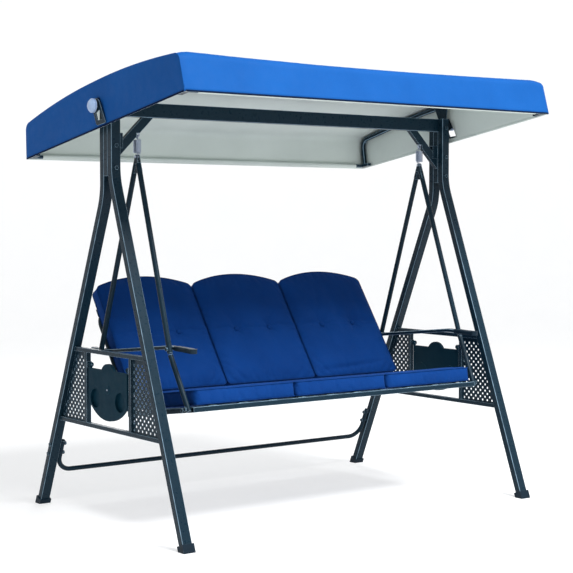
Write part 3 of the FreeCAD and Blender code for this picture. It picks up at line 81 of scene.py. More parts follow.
class Graph:
    """A material and short calls that add nodes to it."""

    def __init__(self, name):
        self.material = bpy.data.materials.new(name)
        self.material.use_nodes = True
        self.tree = self.material.node_tree
        self.shader = self.tree.nodes["Principled BSDF"]
        self.place = self.add("ShaderNodeTexCoord").outputs["Object"]

    def add(self, kind, **settings):
        """A new node with its options set."""
        node = self.tree.nodes.new(kind)
        for key, value in settings.items():
            setattr(node, key, value)
        return node

    def put(self, socket, value):
        """Links another node's output to a socket, or sets the socket's own value."""
        if isinstance(value, bpy.types.NodeSocket):
            self.tree.links.new(value, socket)
        else:
            socket.default_value = value

    def finish(self, **values):
        """Sets the shader's own sockets: a colour or number, or another node's output."""
        for key, value in values.items():
            self.put(self.shader.inputs[key.replace("_", " ")], value)
        return self.material

    def noise(self, scale, detail=2.0, stretch=(1, 1, 1)):
        """Noise that is fixed to the piece."""
        mapping = self.add("ShaderNodeMapping")
        mapping.inputs["Scale"].default_value = stretch
        self.put(mapping.inputs["Vector"], self.place)
        texture = self.add("ShaderNodeTexNoise")
        texture.inputs["Scale"].default_value = scale
        texture.inputs["Detail"].default_value = detail
        self.put(texture.inputs["Vector"], mapping.outputs["Vector"])
        return texture.outputs["Fac"]

    def math(self, operation, first, second=0.0):
        """One sum, product or function of values or outputs."""
        node = self.add("ShaderNodeMath", operation=operation)
        self.put(node.inputs[0], first)
        self.put(node.inputs[1], second)
        return node.outputs["Value"]

    def span(self, value, low, high, to_low=0.0, to_high=1.0):
        """Maps a value's range onto another, clamped."""
        node = self.add("ShaderNodeMapRange")
        settings = {"From Min": low, "From Max": high, "To Min": to_low, "To Max": to_high}
        for key, number in settings.items():
            node.inputs[key].default_value = number
        self.put(node.inputs["Value"], value)
        return node.outputs["Result"]

    def mix(self, factor, first, second):
        """A blend of two colours, each a triple or another node's output."""
        node = self.add("ShaderNodeMix", data_type="RGBA")
        self.put(node.inputs["Factor"], factor)
        for key, colour in (("A", first), ("B", second)):
            linked = isinstance(colour, bpy.types.NodeSocket)
            self.put(node.inputs[key], colour if linked else (*colour, 1))
        return node.outputs["Result"]

    def bump(self, height, strength, distance, below=None):
        """A normal from a height, on top of another bump where one is given."""
        node = self.add("ShaderNodeBump")
        node.inputs["Strength"].default_value = strength
        node.inputs["Distance"].default_value = distance
        self.put(node.inputs["Height"], height)
        if below is not None:
            self.put(node.inputs["Normal"], below)
        return node.outputs["Normal"]

    def edges(self, radius):
        """Near 1 along sharp edges, 0 on flats."""
        bevel = self.add("ShaderNodeBevel", samples=4)
        bevel.inputs["Radius"].default_value = radius
        flat = self.add("ShaderNodeNewGeometry").outputs["Normal"]
        product = self.add("ShaderNodeVectorMath", operation="DOT_PRODUCT")
        self.put(product.inputs[0], bevel.outputs["Normal"])
        self.put(product.inputs[1], flat)
        flat_cosine, sharp_cosine = 0.99, 0.8
        return self.span(product.outputs["Value"], flat_cosine, sharp_cosine)

    def ridges(self):
        """Near 1 where a tube's rounded corner faces halfway between two of its sides: where the painted
        highlight lines go.
        """
        split = self.add("ShaderNodeSeparateXYZ")
        self.put(split.inputs[0], self.add("ShaderNodeTexCoord").outputs["Normal"])
        x, y, z = (self.math("POWER", self.math("ABSOLUTE", split.outputs[axis]), 2.0) for axis in "XYZ")
        across = self.math("MULTIPLY", x, self.math("SUBTRACT", 1.0, x))
        along = self.math("MULTIPLY", y, z)
        # Each product of squares is 0.25 exactly halfway between two sides.
        halfway, start = 0.25, 0.19
        return self.span(self.math("MAXIMUM", across, along), start, halfway)

    def weave(self, period):
        """Height of a plain weave, whichever way the cloth faces."""
        split = self.add("ShaderNodeSeparateXYZ")
        self.put(split.inputs[0], self.place)
        waves = []
        for axis in ("X", "Y", "Z"):
            phase = self.math("MULTIPLY", split.outputs[axis], 2 * math.pi / period)
            waves.append(self.math("SINE", phase))
        crossings = [self.math("MULTIPLY", waves[a], waves[b]) for a, b in ((0, 1), (1, 2), (0, 2))]
        total = self.math("ADD", self.math("ADD", crossings[0], crossings[1]), crossings[2])
        return self.span(total, -1.5, 1.5)


def powder_coat(name, ridge_highlights):
    """Hammered powder coat on steel tube, with a painted highlight that makes it lighter along its corners.
    """
    # edge is the colour of the painted highlight along sharp edges and rounded corners.
    dark, light, edge = (0.002, 0.008, 0.014), (0.008, 0.028, 0.047), (0.26, 0.39, 0.50)
    graph = Graph(name)
    fleck = graph.span(graph.noise(520, 3.0), 0.35, 0.7, 0.2, 0.75)
    corner = graph.edges(0.0028)
    if ridge_highlights:
        corner = graph.math("MAXIMUM", corner, graph.ridges())
    # Painted highlight: corners drawn lighter in place of the light they would catch, with a little random
    # variation.
    painted_highlight = graph.math("MULTIPLY", corner, graph.span(graph.noise(34), 0.3, 0.6, 0.5, 1.0))
    patch = graph.span(graph.noise(7, 3.0), 0.3, 0.75, 0.0, 0.35)
    body = graph.mix(graph.math("MAXIMUM", fleck, patch), dark, light)
    hammer = graph.bump(graph.noise(330, 2.0), 0.22, 0.0007)
    return graph.finish(
        Base_Color=graph.mix(painted_highlight, body, edge),
        Specular_IOR_Level=0.12,
        Roughness=graph.span(graph.noise(90, 3.0), 0.3, 0.7, 0.24, 0.42),
        Normal=hammer,
    )


def moulded(name, colour, light, rough, specular, grain=1400, depth=0.18):
    """Moulded plastic with a fine spark-eroded grain and a painted highlight along its edges."""
    graph = Graph(name)
    # Painted highlight: edges drawn lighter, nearly white on the silver knob, in place of the light they
    # would catch.
    edge_highlight = graph.math("MULTIPLY", graph.edges(0.0018), graph.span(graph.noise(60), 0.35, 0.65, 0.2, 0.8))
    cloudy = graph.mix(graph.span(graph.noise(11, 4.0), 0.3, 0.75, 0.0, 0.5), colour, light)
    edge_highlight_colour = tuple(min(1, 2.2 * channel + 0.02) for channel in light)
    return graph.finish(
        Base_Color=graph.mix(edge_highlight, cloudy, edge_highlight_colour),
        Roughness=graph.span(graph.noise(40, 3.0), 0.3, 0.7, rough - 0.06, rough + 0.08),
        Specular_IOR_Level=specular,
        Normal=graph.bump(graph.noise(grain, 2.0), depth, 0.0003),
    )


def plated(name, colour, light, rough):
    """Zinc-plated steel, drawn lengthways and slightly dulled."""
    graph = Graph(name)
    drawn = graph.noise(160, 4.0, (6, 6, 0.6))
    tone = graph.mix(graph.span(drawn, 0.3, 0.7), colour, light)
    return graph.finish(
        Base_Color=tone,
        Metallic=1.0,
        Roughness=graph.span(graph.noise(75, 3.0), 0.3, 0.7, rough - 0.08, rough + 0.12),
        Normal=graph.bump(drawn, 0.08, 0.0004),
    )


def woven(name, dark, light, period=0.0016, rough=0.82, sheen=0.04, tint=(0.1, 0.3, 1.0)):
    """Dyed polyester canvas: threads, uneven dye and a soft sheen."""
    graph = Graph(name)
    thread = graph.weave(period)
    slub = graph.noise(900, 2.0, (1, 0.25, 1))
    dye = graph.span(graph.noise(5, 4.0), 0.25, 0.75, 0.15, 0.6)
    tone = graph.math("ADD", graph.math("MULTIPLY", graph.span(slub, 0.3, 0.7), 0.35), dye)
    threads = graph.math("ADD", graph.math("MULTIPLY", thread, 0.25), tone)
    fine = graph.bump(thread, 0.35, 0.0004)
    return graph.finish(
        Base_Color=graph.mix(graph.span(threads, 0.1, 1.1), dark, light),
        Roughness=graph.span(graph.noise(30, 3.0), 0.3, 0.7, rough - 0.06, rough + 0.08),
        Normal=graph.bump(graph.noise(55, 3.0), 0.12, 0.002, fine),
        Specular_IOR_Level=0.06,
        Sheen_Weight=sheen,
        Sheen_Roughness=0.45,
        Sheen_Tint=(*tint, 1),
    )


PAINT = powder_coat("hammered_paint", ridge_highlights=True)
PLAIN_PAINT = powder_coat("hammered_paint_plain", ridge_highlights=False)
BLACK = moulded("black_plastic", (0.003, 0.010, 0.018), (0.006, 0.020, 0.036), rough=0.48, specular=0.12)
TRAY = moulded("tray_plastic", (0.002, 0.018, 0.032), (0.004, 0.028, 0.046), rough=0.5, specular=0.04)
SILVER = moulded("silver_plastic", (0.22, 0.31, 0.48), (0.36, 0.48, 0.68), rough=0.28, specular=0.5,
                 grain=2200, depth=0.08)
ZINC = plated("zinc_plate", (0.22, 0.27, 0.36), (0.5, 0.55, 0.66), rough=0.34)
CUSHION = woven("navy_canvas", (0.0008, 0.018, 0.094), (0.0026, 0.037, 0.178))
PIPING = woven("piping_canvas", (0.0008, 0.015, 0.076), (0.0022, 0.030, 0.142))
AWNING = woven("canopy_canvas", (0.0022, 0.048, 0.195), (0.0055, 0.074, 0.275), period=0.0013, rough=0.62)
LINING = woven("canopy_lining", (0.52, 0.58, 0.555), (0.64, 0.70, 0.67), period=0.0013, rough=0.7,
               sheen=0.02, tint=(1, 1, 1))
BINDING = woven("dark_binding", (0.0008, 0.005, 0.018), (0.002, 0.010, 0.04), period=0.0014)

CAD_FINISHES = {
    "dark_paint": PAINT,
    "black_plastic": BLACK,
    "tray_plastic": TRAY,
    "grey_plastic": SILVER,
    "zinc_steel": ZINC,
    "cushion_fabric": CUSHION,
    "canopy_fabric": AWNING,
}

# Painted pieces that get no painted highlight lines along their rounded corners.
PLAIN_NODES = ("left_knee_brace", "right_knee_brace", "brace_brackets", "back_frame", "back_slats",
               "left_hanger", "right_hanger", "stabiliser_bar", "arm_posts")


def finish_cad_nodes():
    """Give every CAD node the detailed material of its slot, or the plainer paint."""
    by_node = {part["node"]: part["material_slot"] for part in frame["record"]["subparts"]}
    for name, item in frame["nodes"].items():
        finish = PLAIN_PAINT if name in PLAIN_NODES else CAD_FINISHES[by_node[name]]
        item.data.materials.clear()
        item.data.materials.append(finish)


# --------------------------------------------------------------- mesh tools


def add_mesh(name, points, faces, materials, body=None, place=None):
    """A new smooth-shaded mesh object."""
    mesh = bpy.data.meshes.new(name)
    mesh.from_pydata([tuple(p) for p in points], [], faces)
    mesh.update()
    for polygon in mesh.polygons:
        polygon.use_smooth = True
    item = bpy.data.objects.new(name, mesh)
    bpy.context.scene.collection.objects.link(item)
    for material in materials:
        mesh.materials.append(material)
    if place is not None:
        item.matrix_world = place
    if body:
        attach(item, body)
    return item


def settle(item):
    """Put the result of an object's modifiers into its mesh."""
    bpy.context.view_layer.update()
    graph = bpy.context.evaluated_depsgraph_get()
    final = bpy.data.meshes.new_from_object(item.evaluated_get(graph))
    old = item.data
    item.modifiers.clear()
    item.data = final
    bpy.data.meshes.remove(old)


def tube(path, radius, sides=8, closed=False):
    """Points and faces of a round tube that follows a path."""
    path = [Vector(p) for p in path]
    count = len(path)
    points, faces = [], []
    side = None
    for index, here in enumerate(path):
        before = path[index - 1] if closed or index else here
        after = path[(index + 1) % count] if closed or index < count - 1 else here
        along = (after - before).normalized()
        if side is None:
            side = along.orthogonal().normalized()
        side = (side - along * side.dot(along)).normalized()
        up = along.cross(side)
        for step in range(sides):
            angle = 2 * math.pi * step / sides
            points.append(here + radius * (math.cos(angle) * side + math.sin(angle) * up))
    for index in range(count if closed else count - 1):
        for step in range(sides):
            a, b = index * sides + step, index * sides + (step + 1) % sides
            c = ((index + 1) % count) * sides
            faces.append((a, b, c + (step + 1) % sides, c + step))
    if not closed:
        faces.append(tuple(reversed(range(sides))))
        faces.append(tuple(range(len(points) - sides, len(points))))
    return points, faces


def merged(parts):
    """Several (points, faces) pairs as one pair."""
    points, faces = [], []
    for new_points, new_faces in parts:
        base = len(points)
        points += list(new_points)
        faces += [tuple(base + index for index in face) for face in new_faces]
    return points, faces


def domed(centre, along, rim, turns):
    """A closed dome: rim is (radius, level) from its crown to its foot."""
    side = along.orthogonal().normalized()
    up = along.cross(side)
    points = [centre + along * rim[0][1]]
    for radius, level in rim[1:]:
        for step in range(turns):
            angle = 2 * math.pi * step / turns
            points.append(centre + along * level + radius * (math.cos(angle) * side + math.sin(angle) * up))
    faces = [(0, 1 + step, 1 + (step + 1) % turns) for step in range(turns)]
    for ring in range(len(rim) - 2):
        for step in range(turns):
            a, b = 1 + ring * turns + step, 1 + ring * turns + (step + 1) % turns
            faces.append((a, a + turns, b + turns, b))
    last = 1 + (len(rim) - 2) * turns
    faces.append(tuple(last + step for step in reversed(range(turns))))
    return points, faces


def arc_points(start, through, end, count):
    """Points along the circle through three plane points."""
    a, b, c = (complex(*p) for p in (start, through, end))
    w = (c - a) / (b - a)
    centre = (b - a) * (w - abs(w) ** 2) / (2j * w.imag) + a
    first, last = a - centre, c - centre
    middle = b - centre
    turn = math.atan2((middle / first).imag, (middle / first).real)
    turn += math.atan2((last / middle).imag, (last / middle).real)
    angles = [share * turn for share in np.linspace(0, 1, count)]
    found = [centre + first * complex(math.cos(angle), math.sin(angle)) for angle in angles]
    return [(p.real, p.imag) for p in found]


# ----------------------------------------------------------------- cushions

PAD_STEP = 0.0085
PAD_INSET = 0.0025
BORDER_ROWS = 6
SWELL_FRAMES = 20
BACK_SWELL, SEAT_SWELL = 0.010, 0.005
BACK_CORNER, SEAT_CORNER = 0.016, 0.014
BACK_SEAM_DROP, SEAT_SEAM_DROP = 0.0095, 0.0040
BACK_CROWN, SEAT_CROWN = 0.0085, 0.0035
LOW_SEAM_RISE = 0.006
CROWN_REACH = 0.022
BUTTON_REACH = 0.087
BUTTON_HEIGHT = 0.265
BUTTON_DIMPLE, DIMPLE_REACH = 0.012, 0.019
BUTTON_HOLD = 0.009
ARCH_RISE = 0.047
UNDERSIDE_MARGIN = 0.0003
UNEVEN = 0.0016
# Where the fabric has to stay, measured from the two corners of the CAD cushion's box.
LOW_SPARE, HIGH_SPARE = (0.0002, -0.001, 0.0001), (-0.0002, 0.002, 0.009)
TINY = 1e-9


class Pad:
    """One cushion: its plan and seams, its mesh, how it swells, and its folds."""

    def __init__(self, name, node, place, arched):
        self.name, self.node, self.place, self.arched = name, node, place, arched
        self.low, self.high = local_box(node, place)
        self.middle = (self.low.x + self.high.x) / 2
        self.top_seam = self.high.z - (BACK_SEAM_DROP if arched else SEAT_SEAM_DROP)
        self.low_seam = self.low.z + LOW_SEAM_RISE
        self.corner = BACK_CORNER if arched else SEAT_CORNER

    def far(self, x):
        """The far edge at x: straight, or an arch with its crest in the middle."""
        crest = self.high.y - PAD_INSET
        if not self.arched:
            return crest + 0 * x
        half = (self.high.x - self.low.x) / 2
        radius = (half ** 2 + ARCH_RISE ** 2) / (2 * ARCH_RISE)
        return crest - radius + np.sqrt(radius ** 2 - (x - self.middle) ** 2)

    def plan(self):
        """Plan points on a grid, with rounded corners, and each one's distance from the edge."""
        low, high = self.low.x + PAD_INSET, self.high.x - PAD_INSET
        near = self.low.y + PAD_INSET
        columns = round((high - low) / PAD_STEP)
        rows = round((self.high.y - near) / PAD_STEP)
        steps = np.linspace(0, 1, columns + 1), np.linspace(0, 1, rows + 1)
        u, v = np.meshgrid(*steps, indexing="ij")
        x = low + u * (high - low)
        depth = self.far(x) - near
        across = np.minimum(u, 1 - u) * (high - low)
        along = np.minimum(v, 1 - v) * depth
        a = np.clip(self.corner - across, 0, None)
        b = np.clip(self.corner - along, 0, None)
        shrink = 1 - np.maximum(a, b) / np.maximum(np.hypot(a, b), TINY)
        shrink[(a == 0) | (b == 0)] = 0
        x = x + np.where(u < 0.5, 1, -1) * a * shrink
        y = near + v * depth + np.where(v < 0.5, 1, -1) * b * shrink
        return x, y, np.minimum(across, along)

    def button_gaps(self, x, y):
        """Distance of plan points from each of the two buttons."""
        return [np.hypot(x - self.middle - side * BUTTON_REACH, y - BUTTON_HEIGHT) for side in (-1, 1)]

    def levels(self, x, y, edge):
        """Height of the top and of the bottom panel at each plan point."""
        rise = 1 - np.exp(-edge / CROWN_REACH)
        top = self.top_seam + (BACK_CROWN if self.arched else SEAT_CROWN) * rise
        bottom = self.low_seam - (self.low_seam - self.low.z - UNDERSIDE_MARGIN) * rise
        if self.arched:
            for gap in self.button_gaps(x, y):
                top = top - BUTTON_DIMPLE * np.exp(-(gap / DIMPLE_REACH) ** 2)
        return top, bottom

    def border(self, points, count):
        """Rings of points between the two seams. The new ones are added to points."""
        rings = [self.loop]
        for row in range(1, BORDER_ROWS):
            share = row / BORDER_ROWS
            level = self.top_seam + share * (self.low_seam - self.top_seam)
            rings.append(list(range(len(points), len(points) + len(self.loop))))
            points += [(px, py, level) for px, py in self.seam_plan]
        rings.append([count + index for index in self.loop])
        return rings

    def build(self):
        """Top and bottom panels joined by a border, as a closed quad mesh."""
        x, y, edge = self.plan()
        top, bottom = self.levels(x, y, edge)
        columns, rows = x.shape
        grid = np.arange(columns * rows).reshape(columns, rows)
        loop = np.concatenate([grid[:, 0], grid[-1, 1:], grid[-2::-1, -1], grid[0, -2:0:-1]])
        self.loop = [int(index) for index in loop]
        self.seam_plan = [(float(x.flat[i]), float(y.flat[i])) for i in self.loop]
        points = list(zip(x.ravel(), y.ravel(), top.ravel()))
        points += list(zip(x.ravel(), y.ravel(), bottom.ravel()))
        count = columns * rows
        faces = []
        for i in range(columns - 1):
            for j in range(rows - 1):
                quad = [int(grid[i, j]), int(grid[i + 1, j]), int(grid[i + 1, j + 1]), int(grid[i, j + 1])]
                faces.append(tuple(quad))
                faces.append(tuple(count + index for index in reversed(quad)))
        rings = self.border(points, count)
        for upper, lower in zip(rings, rings[1:]):
            for k in range(len(upper)):
                after = (k + 1) % len(upper)
                faces.append((upper[k], lower[k], lower[after], upper[after]))
        self.item = add_mesh(self.name, points, faces, [CUSHION], None, self.place)
        self.start = np.array(points)
        self.pin(rings[0] + rings[-1])

    def pin(self, seams):
        """Hold the seams and the buttons still while the cushion swells."""
        held = self.item.vertex_groups.new(name="held")
        held.add(seams, 1.0, "REPLACE")
        if self.arched:
            x, y, z = self.start.T
            on_top = z > self.low.z + 0.03
            for gap in self.button_gaps(x, y):
                near = np.where((gap < BUTTON_HOLD) & on_top)[0]
                held.add([int(index) for index in near], 1.0, "REPLACE")

    def add_cloth(self):
        """Cloth that its own pressure swells, with a little spare length for puckers."""
        cloth = self.item.modifiers.new("swell", "CLOTH")
        settings = cloth.settings
        settings.quality = 6
        settings.mass = 0.35
        settings.tension_stiffness = settings.compression_stiffness = 14
        settings.shear_stiffness = 6
        settings.bending_stiffness = 0.8
        settings.use_pressure = True
        settings.uniform_pressure_force = 4.0
        settings.shrink_min = -0.025
        settings.vertex_group_mass = "held"
        settings.effector_weights.gravity = 0
        cloth.point_cache.frame_start = 1
        cloth.point_cache.frame_end = SWELL_FRAMES

    def take_swell(self):
        """Read the swollen shape, limit how far each point went, and keep it in its space."""
        graph = bpy.context.evaluated_depsgraph_get()
        swollen = self.item.evaluated_get(graph).to_mesh()
        points = np.zeros(len(swollen.vertices) * 3)
        swollen.vertices.foreach_get("co", points)
        moved = points.reshape(-1, 3) - self.start
        length = np.linalg.norm(moved, axis=1, keepdims=True)
        limit = BACK_SWELL if self.arched else SEAT_SWELL
        limited = limit * np.tanh(length / limit)
        points = self.start + moved * limited / np.maximum(length, TINY)
        self.item.modifiers.clear()
        self.store(points)

    def store(self, points):
        """Writes the points back, kept near the CAD cushion's own box."""
        points = np.clip(points, np.array(self.low) + LOW_SPARE, np.array(self.high) + HIGH_SPARE)
        self.item.data.vertices.foreach_set("co", points.ravel())
        self.item.data.update()

    def refine(self):
        """One subdivision, then the folds and creases that are sewn or sat into it."""
        divide = self.item.modifiers.new("divide", "SUBSURF")
        divide.levels = divide.render_levels = 1
        settle(self.item)
        mesh = self.item.data
        count = len(mesh.vertices)
        points, normals = np.zeros(count * 3), np.zeros(count * 3)
        mesh.vertices.foreach_get("co", points)
        mesh.vertices.foreach_get("normal", normals)
        points, normals = points.reshape(-1, 3), normals.reshape(-1, 3)
        facing = np.clip(normals[:, 2], 0, 1)
        depth = self.folds(points)
        uneven = np.array([noise.noise(Vector(p) * 9 + Vector((self.middle * 7, 0, 0))) for p in points])
        points = points + normals * (UNEVEN * uneven * np.abs(normals[:, 2]))[:, None]
        points[:, 2] -= depth * facing
        self.store(points)
        self.item.data.polygons.foreach_set("use_smooth", [True] * len(mesh.polygons))

    def folds(self, points):
        """How deep the folds are at each point."""
        depth = np.zeros(len(points))
        for start, end, width, amount in self.fold_list():
            a = np.array(start) + (self.middle, 0)
            run = np.array(end) - np.array(start)
            offset = points[:, :2] - a
            share = np.clip(offset @ run / (run @ run), 0, 1)
            gap = np.linalg.norm(offset - share[:, None] * run, axis=1)
            taper = np.sin(math.pi * np.clip(0.12 + 0.76 * share, 0, 1))
            depth += amount * taper * np.exp(-(gap / width) ** 2)
        return depth

    def fold_list(self):
        """Folds as (start, end, width, depth), measured from the middle of the cushion's lower edge."""
        if not self.arched:
            return SEAT_FOLDS[self.name]
        found = []
        for side in (-1, 1):
            centre = Vector((side * BUTTON_REACH, BUTTON_HEIGHT))
            for number, angle in enumerate((8, 62, 121, 178, 236, 301)):
                heading = math.radians(angle + 9 * side)
                out = Vector((math.cos(heading), math.sin(heading)))
                reach = 0.034 + 0.009 * ((number * 5) % 3)
                found.append((centre + 0.011 * out, centre + reach * out, 0.0042, 0.0026))
        found.append(((-BUTTON_REACH + 0.016, BUTTON_HEIGHT + 0.002),
                      (BUTTON_REACH - 0.016, BUTTON_HEIGHT - 0.003), 0.006, 0.0022))
        return found + BACK_FOLDS[self.name]


# Shallow folds where people have sat and leant, chosen for each cushion.
SEAT_FOLDS = {
    "left_seat_pad": [((-0.19, 0.06), (0.12, 0.045), 0.016, 0.0018)],
    "middle_seat_pad": [((-0.15, 0.05), (0.16, 0.07), 0.018, 0.0018)],
    "right_seat_pad": [((-0.17, 0.07), (0.17, 0.05), 0.016, 0.0018)],
}
BACK_FOLDS = {
    "left_back_pad": [((0.12, 0.40), (0.17, 0.14), 0.03, 0.0030)],
    "middle_back_pad": [((-0.16, 0.42), (-0.19, 0.16), 0.03, 0.0026),
                        ((0.15, 0.40), (0.17, 0.15), 0.026, 0.0026)],
    "right_back_pad": [((-0.05, 0.47), (-0.09, 0.30), 0.022, 0.0042),
                       ((0.01, 0.46), (0.02, 0.10), 0.024, 0.0036),
                       ((-0.14, 0.40), (-0.12, 0.12), 0.028, 0.0036),
                       ((0.14, 0.42), (0.17, 0.18), 0.024, 0.0034),
                       ((-0.20, 0.028), (0.15, 0.048), 0.012, 0.0060)],
}


def make_pads():
    """All six cushions, swollen together."""
    pads = []
    for side in ("left", "middle", "right"):
        pads.append(Pad(f"{side}_seat_pad", f"{side}_seat_cushion", SEAT, False))
        pads.append(Pad(f"{side}_back_pad", f"{side}_back_cushion", BACK, True))
    for pad in pads:
        pad.build()
    for pad in pads:
        pad.add_cloth()
    for number in range(1, SWELL_FRAMES + 1):
        bpy.context.scene.frame_set(number)
    for pad in pads:
        pad.take_swell()
    bpy.context.scene.frame_set(1)
    for pad in pads:
        pad.refine()
        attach(pad.item, "swing_seat")
        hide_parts(pad.node)
    return pads


PIPING_RADIUS = 0.0019


def make_piping(pads):
    """Corded seams round both faces of every cushion."""
    for label, arched, place in (("seat_piping", False, SEAT), ("back_piping", True, BACK)):
        parts = []
        for pad in pads:
            if pad.arched == arched:
                for level in (pad.top_seam, pad.low_seam):
                    path = [(x, y, level) for x, y in pad.seam_plan]
                    parts.append(tube(path, PIPING_RADIUS, 6, True))
        item = add_mesh(label, *merged(parts), [PIPING], "swing_seat", place)


BUTTON_RIM = [(0.0, 0.0042), (0.004, 0.0039), (0.0075, 0.0029), (0.0102, 0.0012), (0.0115, -0.0012),
              (0.0112, -0.003), (0.009, -0.004)]
BUTTON_SINK = 0.0075


def make_buttons(pads):
    """Domed fabric-covered buttons, pulled into the back cushions."""
    parts = []
    for pad in pads:
        if not pad.arched:
            continue
        for side in (-1, 1):
            centre = Vector((pad.middle + side * BUTTON_REACH, BUTTON_HEIGHT, pad.high.z - BUTTON_SINK))
            parts.append(domed(centre, Vector((0, 0, 1)), BUTTON_RIM, 28))
    item = add_mesh("button_domes", *merged(parts), [CUSHION], "swing_seat", BACK)
    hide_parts("back_buttons")


# ------------------------------------------------------------------- canopy

# In the canopy's frame: half its width, its front and rear edges, and the heights of its outline.
HALF = 0.905
FRONT, REAR = -0.616, 0.620
HEM, KNEE, BOW, SHOULDER, ROOF = -0.066, 0.052, 0.077, 0.089, 0.127
# How far inwards the outline has come at the knee, at the bow and at the shoulder.
LEAN, TURN, REACH = 0.014, 0.023, 0.048
MIDDLE_Y = (FRONT + REAR) / 2
VALANCE_ROWS, BEND_ROWS, ROOF_ROWS, COLUMNS = 9, 7, 41, 73
ROOF_SAG = 0.012
END_DROP, END_REACH = 0.010, 0.055
WAVE, PUCKER, FRONT_BULGE = 0.0011, 0.0006, 0.002
END_BOW, END_WAVE = 0.0035, 0.0012
CLOTH = 0.0022
JOIN_GAP = 0.0025
EDGE_ROUND = 0.007
CUT_REACH = 0.02
PIVOT = CANOPY.inverted() @ Vector((0, 0, 1.620))
SLOT_HALF, SLOT_TOP, SLOT_CORNER, SLOT_SLANT = 0.0242, 0.0212, 0.013, -20
SLOT_LOW_REAR, SLOT_LOW_FRONT = -0.0594, -0.0772


def valance_profile(end):
    """Hem to shoulder, as (y, z) points; end is -1 for the front and 1 for the rear."""
    edge = FRONT if end < 0 else REAR
    rise = [(edge - end * LEAN * t, HEM + (KNEE - HEM) * t) for t in np.linspace(0, 1, VALANCE_ROWS)]
    knee, bow, shoulder = (edge - end * inwards for inwards in (LEAN, TURN, REACH))
    bend = arc_points((knee, KNEE), (bow, BOW), (shoulder, SHOULDER), BEND_ROWS)
    return rise + bend[1:]


def roof_profile():
    """Front shoulder to rear shoulder."""
    start, end = (FRONT + REACH, SHOULDER), (REAR - REACH, SHOULDER)
    return arc_points(start, (MIDDLE_Y, ROOF), end, ROOF_ROWS)


def height_share(z):
    """0 at the hem, 1 on the roof."""
    return min(1.0, max(0.0, (z - HEM) / (SHOULDER - HEM)))


def end_drop(x, z):
    """The roof's ends round over towards the end panels."""
    return END_DROP * max(0.0, 1 - (HALF - abs(x)) / END_REACH) ** 2 * height_share(z) ** 2


def sagged(x, y, z):
    """The cover hangs between its side arms."""
    share = height_share(z)
    across = 1 - (x / HALF) ** 2
    free = min(1.0, 5 * across)
    wave = WAVE * noise.noise(Vector((x * 4.5, y * 6.0, 0.3)))
    pucker = PUCKER * math.sin(x * 95) * math.exp(-abs(share - 0.93) / 0.06)
    drop = ROOF_SAG * across * share * (0.85 + 0.15 * math.cos(2.2 * y))
    bulge = FRONT_BULGE * across * math.sin(math.pi * share) if y < 0 else 0
    return x, y + bulge, z - drop - end_drop(x, z) + (wave * share + pucker) * free


def cover_panel():
    """The long panel: front valance, roof and rear valance in one."""
    front, rear, roof = valance_profile(-1), valance_profile(1), roof_profile()
    profile = front + roof[1:-1] + rear[::-1]
    points = []
    for x in np.linspace(-HALF, HALF, COLUMNS):
        points += [sagged(float(x), y, z) for y, z in profile]
    rows = len(profile)
    faces = []
    for i in range(COLUMNS - 1):
        for j in range(rows - 1):
            a = i * rows + j
            faces.append((a, a + rows, a + rows + 1, a + 1))
    return points, faces


def side_panel(side):
    """One end panel, between the two valance edges, the roof's curve and the hem."""
    front, rear, roof = valance_profile(-1), valance_profile(1), roof_profile()
    levels, steps = len(front), len(roof)
    points = []
    for i in range(steps):
        u = i / (steps - 1)
        hem_y = FRONT + (REAR - FRONT) * u
        for j in range(levels):
            v = j / (levels - 1)
            left, right = Vector(front[j]), Vector(rear[j])
            low, top = Vector((hem_y, HEM)), Vector(roof[i])
            corners = ((1 - u) * (1 - v) * Vector(front[0]) + u * (1 - v) * Vector(rear[0])
                       + (1 - u) * v * Vector(roof[0]) + u * v * Vector(roof[-1]))
            spot = (1 - u) * left + u * right + (1 - v) * low + v * top - corners
            bow = END_BOW * math.sin(math.pi * u) * math.sin(math.pi * v)
            soft = END_WAVE * noise.noise(Vector((side * 3.1, spot.x * 7, spot.y * 9)))
            soft *= math.sin(math.pi * v) * math.sin(math.pi * u)
            points.append((side * (HALF - bow) + soft, spot.x, spot.y - end_drop(HALF, spot.y)))
    faces = []
    for i in range(steps - 1):
        for j in range(levels - 1):
            a = i * levels + j
            quad = (a, a + 1, a + levels + 1, a + levels)
            faces.append(quad if side > 0 else quad[::-1])
    return points, faces


def slot_outline(grow=0.0):
    """The slanted, rounded slot round the pivot, as (y, z) points."""
    corners = [Vector((-SLOT_HALF, SLOT_TOP)), Vector((-SLOT_HALF, SLOT_LOW_FRONT)),
               Vector((SLOT_HALF, SLOT_LOW_REAR)), Vector((SLOT_HALF, SLOT_TOP))]
    centre = sum(corners, Vector((0, 0))) / len(corners)
    turn = Matrix.Rotation(math.radians(SLOT_SLANT), 2)
    points = []
    for index, corner in enumerate(corners):
        corner = corner + (corner - centre).normalized() * grow
        before = (corners[index - 1] - corner).normalized() * SLOT_CORNER
        after = (corners[(index + 1) % 4] - corner).normalized() * SLOT_CORNER
        for t in np.linspace(0, 1, 7):
            spot = turn @ (corner + before * (1 - t) ** 2 + after * t ** 2)
            points.append((PIVOT.y + spot.x, PIVOT.z + spot.y))
    return points


def slot_cutter(side):
    """A closed block with the slot's outline, through one end panel."""
    outline = slot_outline()
    count = len(outline)
    points = [(side * (HALF - CUT_REACH), y, z) for y, z in outline]
    points += [(side * (HALF + CUT_REACH), y, z) for y, z in outline]
    faces = [(k, (k + 1) % count, count + (k + 1) % count, count + k) for k in range(count)]
    faces.append(tuple(reversed(range(count))))
    faces.append(tuple(range(count, 2 * count)))
    if side < 0:
        faces = [face[::-1] for face in faces]
    return points, faces


